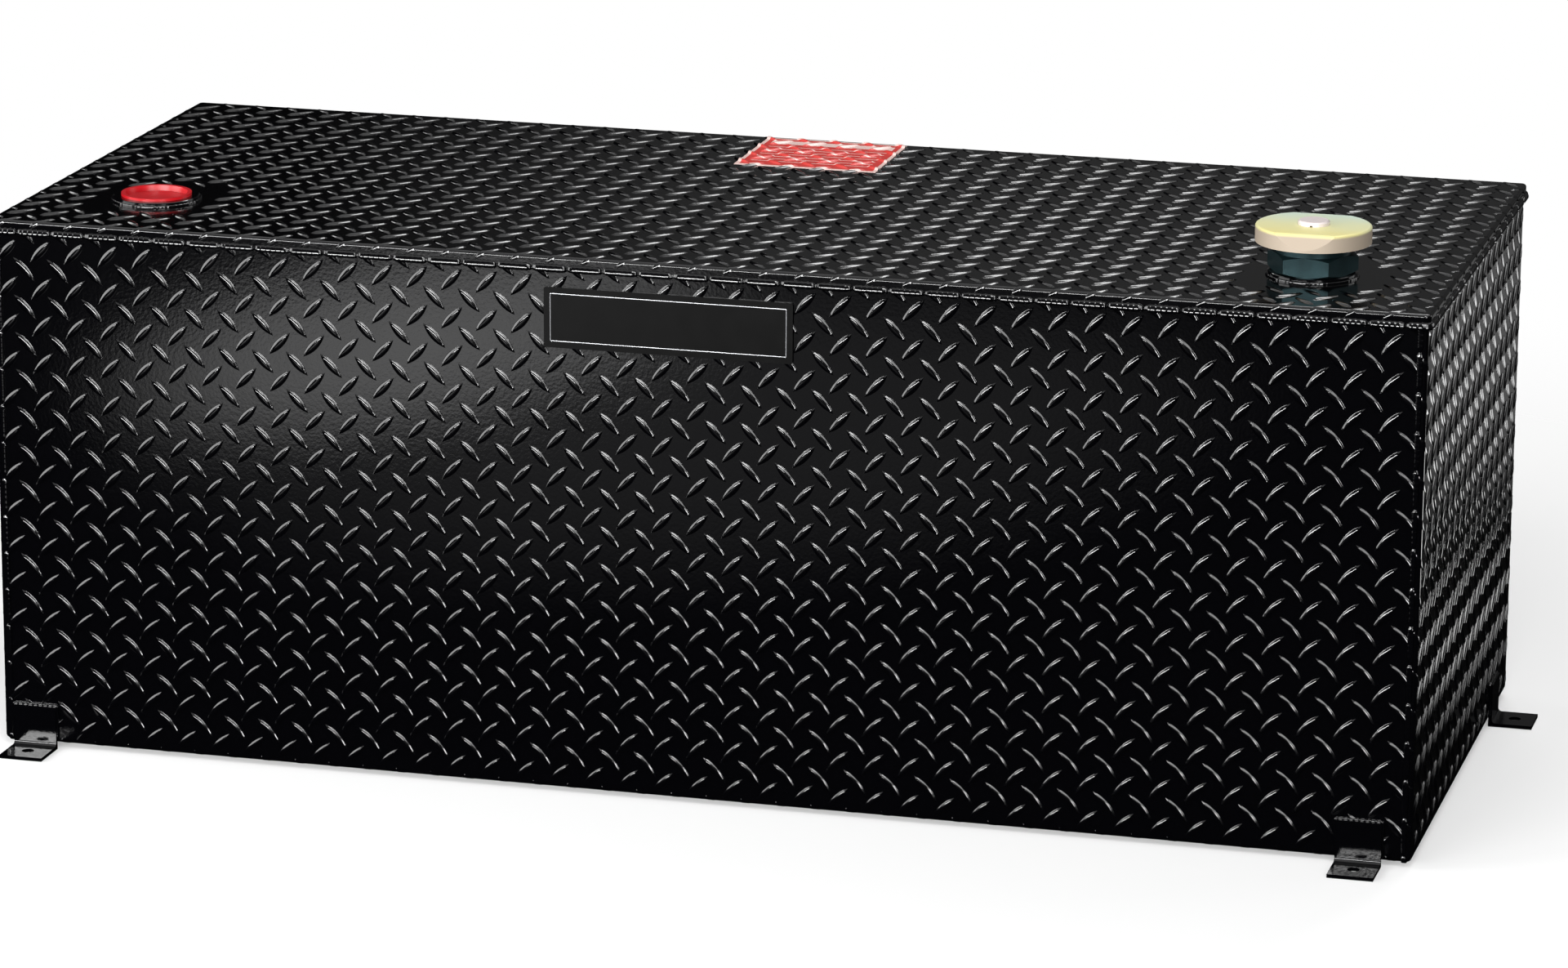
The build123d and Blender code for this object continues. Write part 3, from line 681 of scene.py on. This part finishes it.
class TANK_OT_tread(bpy.types.Operator):
    """Rolls the tread lozenges onto every outer sheet"""

    bl_idname = "tank.tread"
    bl_label = "Tread lozenges"

    def execute(self, context):
        settings = context.scene.tank_tread
        self.wrap(settings)
        self.top(settings)
        self.ends(settings)
        return {"FINISHED"}

    def finish(self, name, made):
        points, quads, triangles = made
        piece = mesh_piece(name, points, quads, triangles, MATERIALS["powder_coat"])

    def wrap(self, settings):
        """The middles of the walls' lozenges reach under the lip, and down to the bend's start,
        from which those of the bottom take over."""
        end_margin, under_lip, bend_margin = 12 * MM, 2 * MM, 8 * MM
        sheet = wrap_sheet()
        half, radius = sheet["across"]
        phase = (first_column(settings), -up_the_wall(sheet, LID_TOP - settings.start_z))
        edge = up_the_wall(sheet, LIP_BOTTOM) + under_lip
        limit_x = TANK_LENGTH / 2 - end_margin
        bottom_edge = half - radius - bend_margin
        for name, low, high in (
            ("front_tread", -edge, -bottom_edge),
            ("back_tread", bottom_edge, edge),
            ("bottom_tread", -bottom_edge, bottom_edge),
        ):
            def is_open(x, y):
                return (np.abs(x) < limit_x) & (y > low) & (y < high)

            self.finish(name, lozenge_field(settings, sheet, phase, is_open))

    def top(self, settings):
        """The middles of its lozenges go 0.4 of the way down the lips, but not to the corners or
        the bungs."""
        corner_margin, ring_margin = 10 * MM, 10 * MM
        sheet = top_sheet()
        bungs = [centre_of("pump_bung"), centre_of("fill_bung")]
        half_x, half_y = sheet["along"][0], sheet["across"][0]
        lip = (LID_TOP - LIP_BOTTOM) * 0.4
        bare = settings.bare_radius + ring_margin

        def is_open(x, y):
            kept = (np.abs(x) < half_x + lip) & (np.abs(y) < half_y + lip)
            kept &= (np.abs(x) < half_x - corner_margin) | (np.abs(y) < half_y - corner_margin)
            for bung in bungs:
                kept &= np.hypot(x - bung[0], y + TANK_MIDDLE_Y - bung[1]) > bare
            return kept

        phase = (first_column(settings), TOP_FIRST_ROW)
        self.finish("top_tread", lozenge_field(settings, sheet, phase, is_open))

    def ends(self, settings):
        """The middles of their lozenges reach the pan's sides and foot, but not its lower corners,
        and go up behind the lid's lip."""
        behind_lip, past_edge, corner_margin = 6 * MM, 1 * MM, 9 * MM
        phase = (4 * MM, 9 * MM)
        for name, side in (("left_tread", -1), ("right_tread", 1)):
            sheet = end_sheet(side)
            half_y, half_z = sheet["along"][0], sheet["across"][0]
            lid = half_z - (LID_TOP - LIP_BOTTOM) + behind_lip

            def is_open(x, y):
                kept = (np.abs(x) < half_y + past_edge) & (y < lid) & (y > -half_z - past_edge)
                return kept & ((np.abs(x) < half_y - corner_margin) | (y > -half_z + corner_margin))

            self.finish(name, lozenge_field(settings, sheet, phase, is_open))


def top_sheet():
    """The top sheet: along the tank, across its depth, with lips all round."""
    return {
        "frame": ((0, TANK_MIDDLE_Y, LID_TOP), (1, 0, 0), (0, 1, 0), (0, 0, 1)),
        "along": (TOP_BOX[1].x, 2.5 * MM),
        "across": (TANK_DEPTH / 2 + SHEET_THICKNESS, 2.5 * MM),
        "walls": False,
        "lean": 1,
        "reach": (TANK_LENGTH / 2, TANK_DEPTH / 2),
    }


def end_sheet(side):
    """An end pan: along the tank's depth, up its height, facing outwards."""
    middle = (side * TANK_LENGTH / 2, TANK_MIDDLE_Y, (END_BOX[0].z + END_BOX[1].z) / 2)
    half_height = (END_BOX[1].z - END_BOX[0].z) / 2
    return {
        "frame": (middle, (0, side, 0), (0, 0, 1), (side, 0, 0)),
        "along": (TANK_DEPTH / 2, 3.5 * MM),
        "across": (half_height, 3.5 * MM),
        "walls": False,
        "lean": 1,
        "reach": (TANK_DEPTH / 2, half_height),
    }


def centre_of(name):
    low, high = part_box(name)
    return (low + high) / 2


class TANK_OT_welds(bpy.types.Operator):
    """Lays the rippled beads along the seams, round the bungs and round the brackets"""

    bl_idname = "tank.welds"
    bl_label = "Weld beads"

    def execute(self, context):
        settings = context.scene.tank_weld
        self.top_seam(settings)
        self.end_seams(settings)
        self.bungs(settings)
        self.brackets(settings)
        return {"FINISHED"}

    def finish(self, name, points, quads):
        piece = mesh_piece(name, points, quads, material=MATERIALS["powder_coat"], smooth_angle=50)
        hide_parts(name)

    def top_seam(self, settings):
        """The bead follows the lower edge of the lip, in a stitch for each lozenge under it."""
        corner_radius, angles, tilt = 4.5 * MM, (-1.95, 1.7), 0.3
        tread = bpy.context.scene.tank_tread
        loop, outward, lengths = rounded_loop(
            (TANK_LENGTH + SHEET_THICKNESS) / 2, (TANK_DEPTH + SHEET_THICKNESS) / 2, corner_radius,
            settings.ripple_pitch / SEAM_STEPS,
        )
        path = np.column_stack([loop[:, 0], loop[:, 1] + TANK_MIDDLE_Y, np.full(len(loop), LIP_BOTTOM)])
        sideways = np.column_stack([outward, np.zeros(len(loop))])
        upward = np.tile([0.0, 0.0, 1.0], (len(loop), 1))
        first = first_column(tread) + tread.pitch_x / 2 - settings.stitch_gap
        on_long_side = np.abs(outward[:, 1]) > np.abs(outward[:, 0])
        stitch = np.where(on_long_side, (loop[:, 0] - first) / tread.pitch_x, loop[:, 1] / tread.pitch_y)
        size = (settings.seam_bead, settings.seam_bead)
        section = bead_section(lengths, size, settings.ripple_pitch, angles, 1, stitch, tilt)
        self.finish("top_seam_weld", *carried_bead(path, sideways, upward, section, True))

    def end_seams(self, settings):
        """Each bead runs on the folded wrap's outer face, down one wall, under the bottom and up
        the other wall, and is 0.6 as high as it is half wide."""
        below_lip, flatness, sunk_angle = 1 * MM, 0.6, 0.3
        tread = bpy.context.scene.tank_tread
        sheet = wrap_sheet()
        top = up_the_wall(sheet, LIP_BOTTOM - below_lip)
        across = np.linspace(-top, top, int(2 * top / (settings.ripple_pitch / SEAM_STEPS)))
        size = (settings.end_bead, settings.end_bead * flatness)
        angles = (math.pi + sunk_angle, -sunk_angle)
        for name, side, seed in (("left_seam_weld", -1, 2), ("right_seam_weld", 1, 3)):
            end = np.full_like(across, side * WRAP_BOX[1].x)
            line = np.stack([end, across, np.zeros_like(across)], -1)
            path = folded_points(line, sheet)
            upward = folded_points(line + (0, 0, 1), sheet) - path
            sideways = np.tile([1.0, 0.0, 0.0], (len(path), 1))
            section = bead_section(
                across + top, size, settings.ripple_pitch, angles, seed, across / tread.pitch_y
            )
            self.finish(name, *carried_bead(path, sideways, upward, section, False))

    def bungs(self, settings):
        """A round bead in the corner between each bung and the lid."""
        steps = 300
        angle = np.arange(steps) * 2 * math.pi / steps
        outward = np.column_stack([np.cos(angle), np.sin(angle), np.zeros(steps)])
        upward = np.tile([0.0, 0.0, 1.0], (steps, 1))
        size = (settings.bung_bead, settings.bung_bead)
        for name, bung, seed in (("pump_bung_weld", "pump_bung", 4), ("fill_bung_weld", "fill_bung", 5)):
            centre = centre_of(bung)
            radius = (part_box(bung)[1].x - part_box(bung)[0].x) / 2
            path = np.array([centre.x, centre.y, LID_TOP]) + radius * outward
            section = bead_section(angle * radius, size, settings.ripple_pitch, CORNER_BEAD, seed)
            self.finish(name, *carried_bead(path, outward, upward, section, True))

    def brackets(self, settings):
        """Each bead goes up one side of its bracket, across the top and down the other side, in
        the corner with the wall, and turns on a small arc."""
        above_foot, arc, arc_points = 4.5 * MM, 1 * MM, 6
        step = settings.ripple_pitch / BRACKET_STEPS
        turn = np.linspace(0, math.pi / 2, arc_points)[1:-1]
        cos, sin = arc * np.cos(turn), arc * np.sin(turn)
        up = np.array([0.0, 0, 1])
        points, quads, start = [], [], 0
        for seed, name in enumerate(("front_left", "front_right", "rear_left", "rear_right"), 10):
            low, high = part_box(f"bracket_{name}")
            middle, top = (low + high) / 2, high.z
            side = 1 if name.endswith("right") else -1
            if name.startswith("front"):
                out, along, half = np.array([0.0, -1, 0]), np.array([1.0, 0, 0]), (high.x - low.x) / 2
                wall = np.array([middle.x, TANK_FRONT, 0])
            else:
                out, along, half = np.array([side, 0.0, 0]), np.array([0.0, side, 0]), (high.y - low.y) / 2
                wall = np.array([side * TANK_LENGTH / 2, middle.y, 0])
            riser = np.arange(TANK_BOTTOM + above_foot, top - arc, step)
            across = np.arange(-half + arc, half - arc, step)
            flat = np.concatenate([
                np.column_stack([np.full_like(riser, half), riser]),
                np.column_stack([half - arc + cos, top - arc + sin]),
                np.column_stack([-across, np.full_like(across, top)]),
                np.column_stack([-half + arc - sin, top - arc + cos]),
                np.column_stack([np.full_like(riser, -half), riser[::-1]]),
            ])
            tangent = np.gradient(flat, axis=0)
            tangent /= np.linalg.norm(tangent, axis=1)[:, None]
            normal = np.column_stack([tangent[:, 1], -tangent[:, 0]])
            path = wall + flat[:, :1] * along + flat[:, 1:] * up
            sideways = normal[:, :1] * along + normal[:, 1:] * up
            upward = np.tile(out, (len(path), 1))
            lengths = np.concatenate([[0], np.cumsum(np.linalg.norm(np.diff(path, axis=0), axis=1))])
            size = (settings.bracket_bead, settings.bracket_bead)
            section = bead_section(lengths, size, settings.ripple_pitch, CORNER_BEAD, seed)
            made, faces = carried_bead(path, sideways, upward, section, False)
            points.append(made)
            quads.append(faces + start)
            start += len(made)
        self.finish("bracket_welds", np.concatenate(points), np.concatenate(quads))


class TANK_OT_label(bpy.types.Operator):
    """Lays the label over the tread, which shows through it"""

    bl_idname = "tank.label"
    bl_label = "Label"

    def execute(self, context):
        columns, rows, above_lid, below_lid = 129, 116, 0.35 * MM, 0.3 * MM
        settings = context.scene.tank_tread
        low, high = LABEL_BOX
        x, y = np.meshgrid(np.linspace(low.x, high.x, columns), np.linspace(low.y, high.y, rows))
        x, y = x.ravel(), y.ravel()
        phase = (first_column(settings), TOP_FIRST_ROW)
        centres, leans = [], []
        for half_step, lean in ((0, settings.lean), (0.5, -settings.lean)):
            cx, cy = lattice(settings, top_sheet()["reach"], phase, half_step)
            centres.append(np.column_stack([cx, cy + TANK_MIDDLE_Y]))
            leans.append(np.full(len(cx), lean))
        tread = lozenge_height(settings, x, y, np.concatenate(centres), np.concatenate(leans))
        top = np.column_stack([x, y, LID_TOP + above_lid + tread])
        under = np.column_stack([x, y, np.full(x.size, LID_TOP - below_lid)])
        face = grid_quads(rows, columns)
        index = np.arange(rows * columns).reshape(rows, columns)
        edge = np.concatenate([index[0, :-1], index[:-1, -1], index[-1, :0:-1], index[:0:-1, 0]])
        wall = np.stack([edge, edge + x.size, np.roll(edge, -1) + x.size, np.roll(edge, -1)], -1)
        piece = mesh_piece(
            "label_film", np.concatenate([top, under]),
            np.concatenate([face, face[:, ::-1] + x.size, wall]), material=MATERIALS["red_vinyl"],
        )
        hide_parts("caution_label")
        return {"FINISHED"}


class TANK_OT_plate(bpy.types.Operator):
    """Inlays the bright border line of the bare plate on the front"""

    bl_idname = "tank.plate"
    bl_label = "Name plate border"

    def execute(self, context):
        """An oval section carried round, with its middle just under the plate's face."""
        inset, corner_radius, side_step, sunk = 5.5 * MM, 0.6 * MM, 20 * MM, 0.3 * MM
        half_width, half_depth, section_points = 0.45 * MM, 0.35 * MM, 8
        low, high = PLATE_BOX
        middle = (low + high) / 2
        half_x, half_z = (high.x - low.x) / 2 - inset, (high.z - low.z) / 2 - inset
        loop, outward, _ = rounded_loop(half_x, half_z, corner_radius, side_step)
        zero = np.zeros(len(loop))
        path = np.column_stack([loop[:, 0] + middle.x, zero + low.y + sunk, loop[:, 1] + middle.z])
        sideways = np.column_stack([outward[:, 0], zero, outward[:, 1]])
        upward = np.tile([0.0, -1.0, 0.0], (len(loop), 1))
        angle = np.linspace(0, 2 * math.pi, section_points + 1)[:-1]
        section = np.stack([half_width * np.cos(angle), half_depth * np.sin(angle)], -1)
        profile = np.tile(section, (len(loop), 1, 1))
        points, quads = carried_bead(path, sideways, upward, profile, True)
        piece = mesh_piece("plate_border", points, quads[:, ::-1], material=MATERIALS["bright_line"])
        return {"FINISHED"}


class TANK_OT_finishes(bpy.types.Operator):
    """Makes the materials and gives each carried-over piece its own"""

    bl_idname = "tank.finishes"
    bl_label = "Finishes"

    def execute(self, context):
        finish = context.scene.tank_finish
        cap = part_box("cap_shell")
        cap_face = ((cap[0].x + cap[1].x) / 2, (cap[0].y + cap[1].y) / 2, cap[1].z)
        MATERIALS.update({
            "powder_coat": powder_coat(finish.powder_coat),
            "mill_steel": mill_steel(),
            "dark_zinc": dark_zinc(finish.dark_zinc),
            "yellow_zinc": chromate_zinc(finish, cap_face),
            "clear_zinc": clear_zinc(),
            "nitrile_rubber": nitrile_rubber(),
            "red_plastic": moulded_plastic("moulded_red_polyethylene", finish.red_cap, 0.34, 0.1),
            "black_enamel": black_enamel(),
            "red_vinyl": printed_vinyl(finish, LABEL_BOX[0], LABEL_BOX[1]),
            "bright_line": bright_line(),
        })
        slots = {part["node"]: part["material_slot"] for part in frame["record"]["subparts"]}
        for name, cad_piece in frame["nodes"].items():
            cad_piece.data.materials.clear()
            cad_piece.data.materials.append(MATERIALS[slots[name]])
        return {"FINISHED"}


class TANK_OT_stage(bpy.types.Operator):
    """Sets the floor, the lamps, the backdrop, the glowing and dark cards that paint reflections, and the
    camera
    """

    bl_idname = "tank.stage"
    bl_label = "Studio"

    def execute(self, context):
        settings = context.scene.tank_studio
        self.floor(settings)
        self.flags(settings)
        self.world()
        # Glowing cards seen only in reflections: painted sheen on the front wall and on the right end, a
        # bright one and a broad dim one for each.
        self.painted_sheen_card("front_sheen_card", (-0.72, -1.72), (0.33, 0.7), 2.1, 2 * MM)
        self.painted_sheen_card("front_broad_sheen_card", (-0.33, -1.45), (0.62, 0.85), 0.25, 3 * MM)
        self.painted_sheen_card("end_sheen_card", (1.14, 0.7), (0.32, 0.42), 4.8, 2 * MM)
        self.painted_sheen_card("end_broad_sheen_card", (0.95, 1.6), (0.6, 0.9), 0.18, 3 * MM)
        self.softbox("high_front_softbox", (0.22, -0.75, 0.62), 4.0, (1.0, 0.9), 17)
        self.softbox("low_front_softbox", (0.53, -0.84, 0.13), 4.2, (0.8, 0.7), 26)
        self.softbox("right_front_softbox", (0.44, -0.77, 0.46), 4.4, (1.9, 1.5), 6)
        self.softbox("strip_softbox", (-0.26, -0.95, 0.17), 3.0, (2.0, 0.3), 40)
        self.softbox("left_softbox", (-0.84, -0.43, 0.32), 3.5, (2.2, 1.7), 7)
        self.softbox("overhead_softbox", (0.18, 0.5, 0.84), 3.2, (1.3, 0.9), 10)
        self.softbox("back_left_softbox", (-0.70, 0.49, 0.52), 3.5, (0.9, 0.7), 4)
        self.softbox("right_end_softbox", (0.82, 0.56, 0.23), 3.4, (1.5, 0.9), 2.4)
        self.camera(context, settings)
        return {"FINISHED"}

    def floor(self, settings):
        """A pale floor that fades into the white background, from fade_start to fade_end."""
        made, tree, shader, place = material(
            "pale_studio_floor", Base_Color=rgba(settings.floor_colour), Roughness=0.9
        )
        away = node(tree, "ShaderNodeVectorMath", {"operation": "LENGTH", 0: place})
        fade = node(tree, "ShaderNodeMapRange", {
            "interpolation_type": "SMOOTHSTEP", "From Min": settings.fade_start,
            "From Max": settings.fade_end, "To Min": settings.floor_clearness,
        }, Value=away.outputs["Value"])
        clear = node(tree, "ShaderNodeBsdfTransparent")
        mixed = node(tree, "ShaderNodeMixShader", {
            0: fade.outputs["Result"], 1: shader.outputs["BSDF"], 2: clear.outputs["BSDF"],
        })
        tree.links.new(mixed.outputs["Shader"], tree.nodes["Material Output"].inputs["Surface"])
        self.stage_oval("floor", (0, 0), (settings.fade_end, settings.fade_end), 0, made)

    def oval_points(self, centre, size, level):
        """Points round a flat oval: centre + size (cos, sin) of the angle."""
        angle = np.linspace(0, 2 * math.pi, RING_STEPS + 1)[:-1]
        x, y = centre[0] + size[0] * np.cos(angle), centre[1] + size[1] * np.sin(angle)
        return np.column_stack([x, y, np.full(RING_STEPS, level)])

    def stage_oval(self, name, centre, size, level, made):
        """A flat filled oval, for the floor and the cards that lie on it."""
        points = self.oval_points(centre, size, level)
        return self.stage_mesh(name, points, [tuple(range(RING_STEPS))], made)

    def stage_mesh(self, name, points, faces, made):
        mesh = bpy.data.meshes.new(name)
        mesh.from_pydata(points.tolist(), [], faces)
        mesh.materials.append(made)
        placed = bpy.data.objects.new(name, mesh)
        bpy.context.scene.collection.objects.link(placed)
        return placed

    def flags(self, settings):
        """Cards round the tank that only its reflections see. One lies on the floor: a dark sheet that
        paints dark reflections into the gloss coat. One stands all round and glows: a painted reflection,
        nearly black on the left and as bright as standing_brightness from full_from on."""
        darkest, dark_until, full_from = 0.004, -1.9, -1.2
        round_tank = ((0, 0), (settings.flag_radius, settings.flag_radius))
        # A dark sheet on the floor that only reflections see: a painted dark reflection.
        felt, _, _, _ = material(
            "dark_reflection_card", Base_Color=rgba(settings.flag_colour), Roughness=1, Specular_IOR_Level=0
        )
        lying = self.stage_oval("floor_card", *round_tank, 0.5 * MM, felt)
        # A card all round that glows, and only reflections see it: a painted reflection, nearly black on the
        # left and brighter to the right.
        grey, tree, _, place = material("glowing_reflection_card")
        split = node(tree, "ShaderNodeSeparateXYZ", Vector=place)
        strength = node(tree, "ShaderNodeMapRange", {
            "From Min": dark_until, "From Max": full_from, "To Min": darkest,
            "To Max": settings.standing_brightness,
        }, Value=split.outputs["X"])
        light = node(tree, "ShaderNodeEmission", Strength=strength.outputs["Result"])
        tree.links.new(light.outputs["Emission"], tree.nodes["Material Output"].inputs["Surface"])
        rings = [self.oval_points(*round_tank, level) for level in (1 * MM, settings.flag_height)]
        faces = grid_quads(2, RING_STEPS, close_columns=True).tolist()
        standing = self.stage_mesh("standing_card", np.concatenate(rings), faces, grey)
        for card in (lying, standing):
            self.reflected_only(card)

    def painted_sheen_card(self, name, centre, size, brightness, level):
        """An oval card that lies above the dark floor card and glows, seen only in reflections: a painted
        sheen on the wall that mirrors it. Its light falls off from the middle as (1 - r^4)^2, where r is 1
        at the rim, and it lets what lies under it show through."""
        made, tree, _, place = material(name)
        centred = node(tree, "ShaderNodeMapping", {
            "Location": (-centre[0] / size[0], -centre[1] / size[1], 0),
            "Scale": (1 / size[0], 1 / size[1], 1),
        }, Vector=place).outputs["Vector"]
        squared = node(tree, "ShaderNodeVectorMath", {"operation": "DOT_PRODUCT", 0: centred, 1: centred})
        fourth = node(tree, "ShaderNodeMath", {"operation": "POWER", 0: squared.outputs["Value"], 1: 2.0})
        inside = node(tree, "ShaderNodeMath", {
            "operation": "SUBTRACT", "use_clamp": True, 0: 1.0, 1: fourth.outputs[0],
        })
        falloff = node(tree, "ShaderNodeMath", {"operation": "POWER", 0: inside.outputs[0], 1: 2.0})
        strength = node(tree, "ShaderNodeMath", {
            "operation": "MULTIPLY", 0: brightness, 1: falloff.outputs[0],
        })
        light = node(tree, "ShaderNodeEmission", Strength=strength.outputs[0])
        clear = node(tree, "ShaderNodeBsdfTransparent")
        both = node(tree, "ShaderNodeAddShader", {0: light.outputs["Emission"], 1: clear.outputs["BSDF"]})
        tree.links.new(both.outputs["Shader"], tree.nodes["Material Output"].inputs["Surface"])
        self.reflected_only(self.stage_oval(name, centre, size, level, made))

    def reflected_only(self, card):
        card.visible_camera = False
        card.visible_diffuse = False
        card.visible_transmission = False
        card.visible_shadow = False

    def world(self):
        """White wherever the camera, a reflection or a glass looks, and a dim fill elsewhere."""
        fill, white = 0.1, 1.0
        world = bpy.data.worlds.new("studio")
        bpy.context.scene.world = world
        world.use_nodes = True
        tree = world.node_tree
        background = tree.nodes["Background"]
        background.inputs["Color"].default_value = (1, 1, 1, 1)
        rays = node(tree, "ShaderNodeLightPath")
        seen = rays.outputs["Is Camera Ray"]
        for kind in ("Is Glossy Ray", "Is Transmission Ray"):
            either = node(tree, "ShaderNodeMath", {"operation": "MAXIMUM", 0: seen, 1: rays.outputs[kind]})
            seen = either.outputs[0]
        strength = node(tree, "ShaderNodeMapRange", {"To Min": fill, "To Max": white}, Value=seen)
        tree.links.new(strength.outputs["Result"], background.inputs["Strength"])

    def softbox(self, name, direction, distance, size, brightness):
        """A rectangular area lamp, seen from the tank's middle in a direction and at a distance.
        brightness is what a perfect mirror would show of it, where 1 is white, so its power is
        that times pi and its area. It looks at the tank."""
        data = bpy.data.lights.new(name, "AREA")
        data.shape = "RECTANGLE"
        data.size, data.size_y = size
        data.energy = brightness * math.pi * size[0] * size[1]
        lamp = bpy.data.objects.new(name, data)
        bpy.context.scene.collection.objects.link(lamp)
        lamp.location = Vector(LAMP_CENTRE) + Vector(direction) * distance
        lamp.rotation_euler = (-Vector(direction)).to_track_quat("-Z", "Y").to_euler()
        lamp.visible_camera = False

    def camera(self, context, settings):
        data = bpy.data.cameras.new("camera")
        data.lens = settings.focal_length
        data.sensor_width = 36
        camera = bpy.data.objects.new("camera", data)
        context.scene.collection.objects.link(camera)
        camera.location = settings.camera_place
        tilt = math.pi / 2 - settings.camera_pitch
        camera.rotation_euler = (tilt, settings.camera_roll, settings.camera_yaw)
        context.scene.camera = camera


class TANK_PT_sidebar(bpy.types.Panel):
    """Lists the pieces and their settings"""

    bl_label = "Transfer tank"
    bl_idname = "TANK_PT_sidebar"
    bl_space_type = "VIEW_3D"
    bl_region_type = "UI"
    bl_category = "Tank"

    def draw(self, context):
        for operator in OPERATORS:
            self.layout.operator(operator.bl_idname)
        for name in SETTINGS:
            settings = getattr(context.scene, name)
            box = self.layout.box()
            for key in settings.__annotations__:
                box.prop(settings, key)


MATERIALS = {}
SETTINGS = {
    "tank_tread": TankTreadSettings,
    "tank_weld": TankWeldSettings,
    "tank_finish": TankFinishSettings,
    "tank_studio": TankStudioSettings,
}
OPERATORS = (
    TANK_OT_finishes,
    TANK_OT_wrap,
    TANK_OT_tread,
    TANK_OT_welds,
    TANK_OT_label,
    TANK_OT_plate,
    TANK_OT_stage,
)


def register():
    for name, group in SETTINGS.items():
        bpy.utils.register_class(group)
        setattr(bpy.types.Scene, name, bpy.props.PointerProperty(type=group))
    for operator in (*OPERATORS, TANK_PT_sidebar):
        bpy.utils.register_class(operator)


def unregister():
    for operator in reversed((*OPERATORS, TANK_PT_sidebar)):
        bpy.utils.unregister_class(operator)
    for name, group in SETTINGS.items():
        delattr(bpy.types.Scene, name)
        bpy.utils.unregister_class(group)


def main():
    register()
    bpy.context.scene.view_settings.view_transform = "Standard"
    bpy.ops.tank.finishes()
    bpy.ops.tank.wrap()
    bpy.ops.tank.tread()
    bpy.ops.tank.welds()
    bpy.ops.tank.label()
    bpy.ops.tank.plate()
    bpy.ops.tank.stage()


if __name__ == "__main__":
    main()
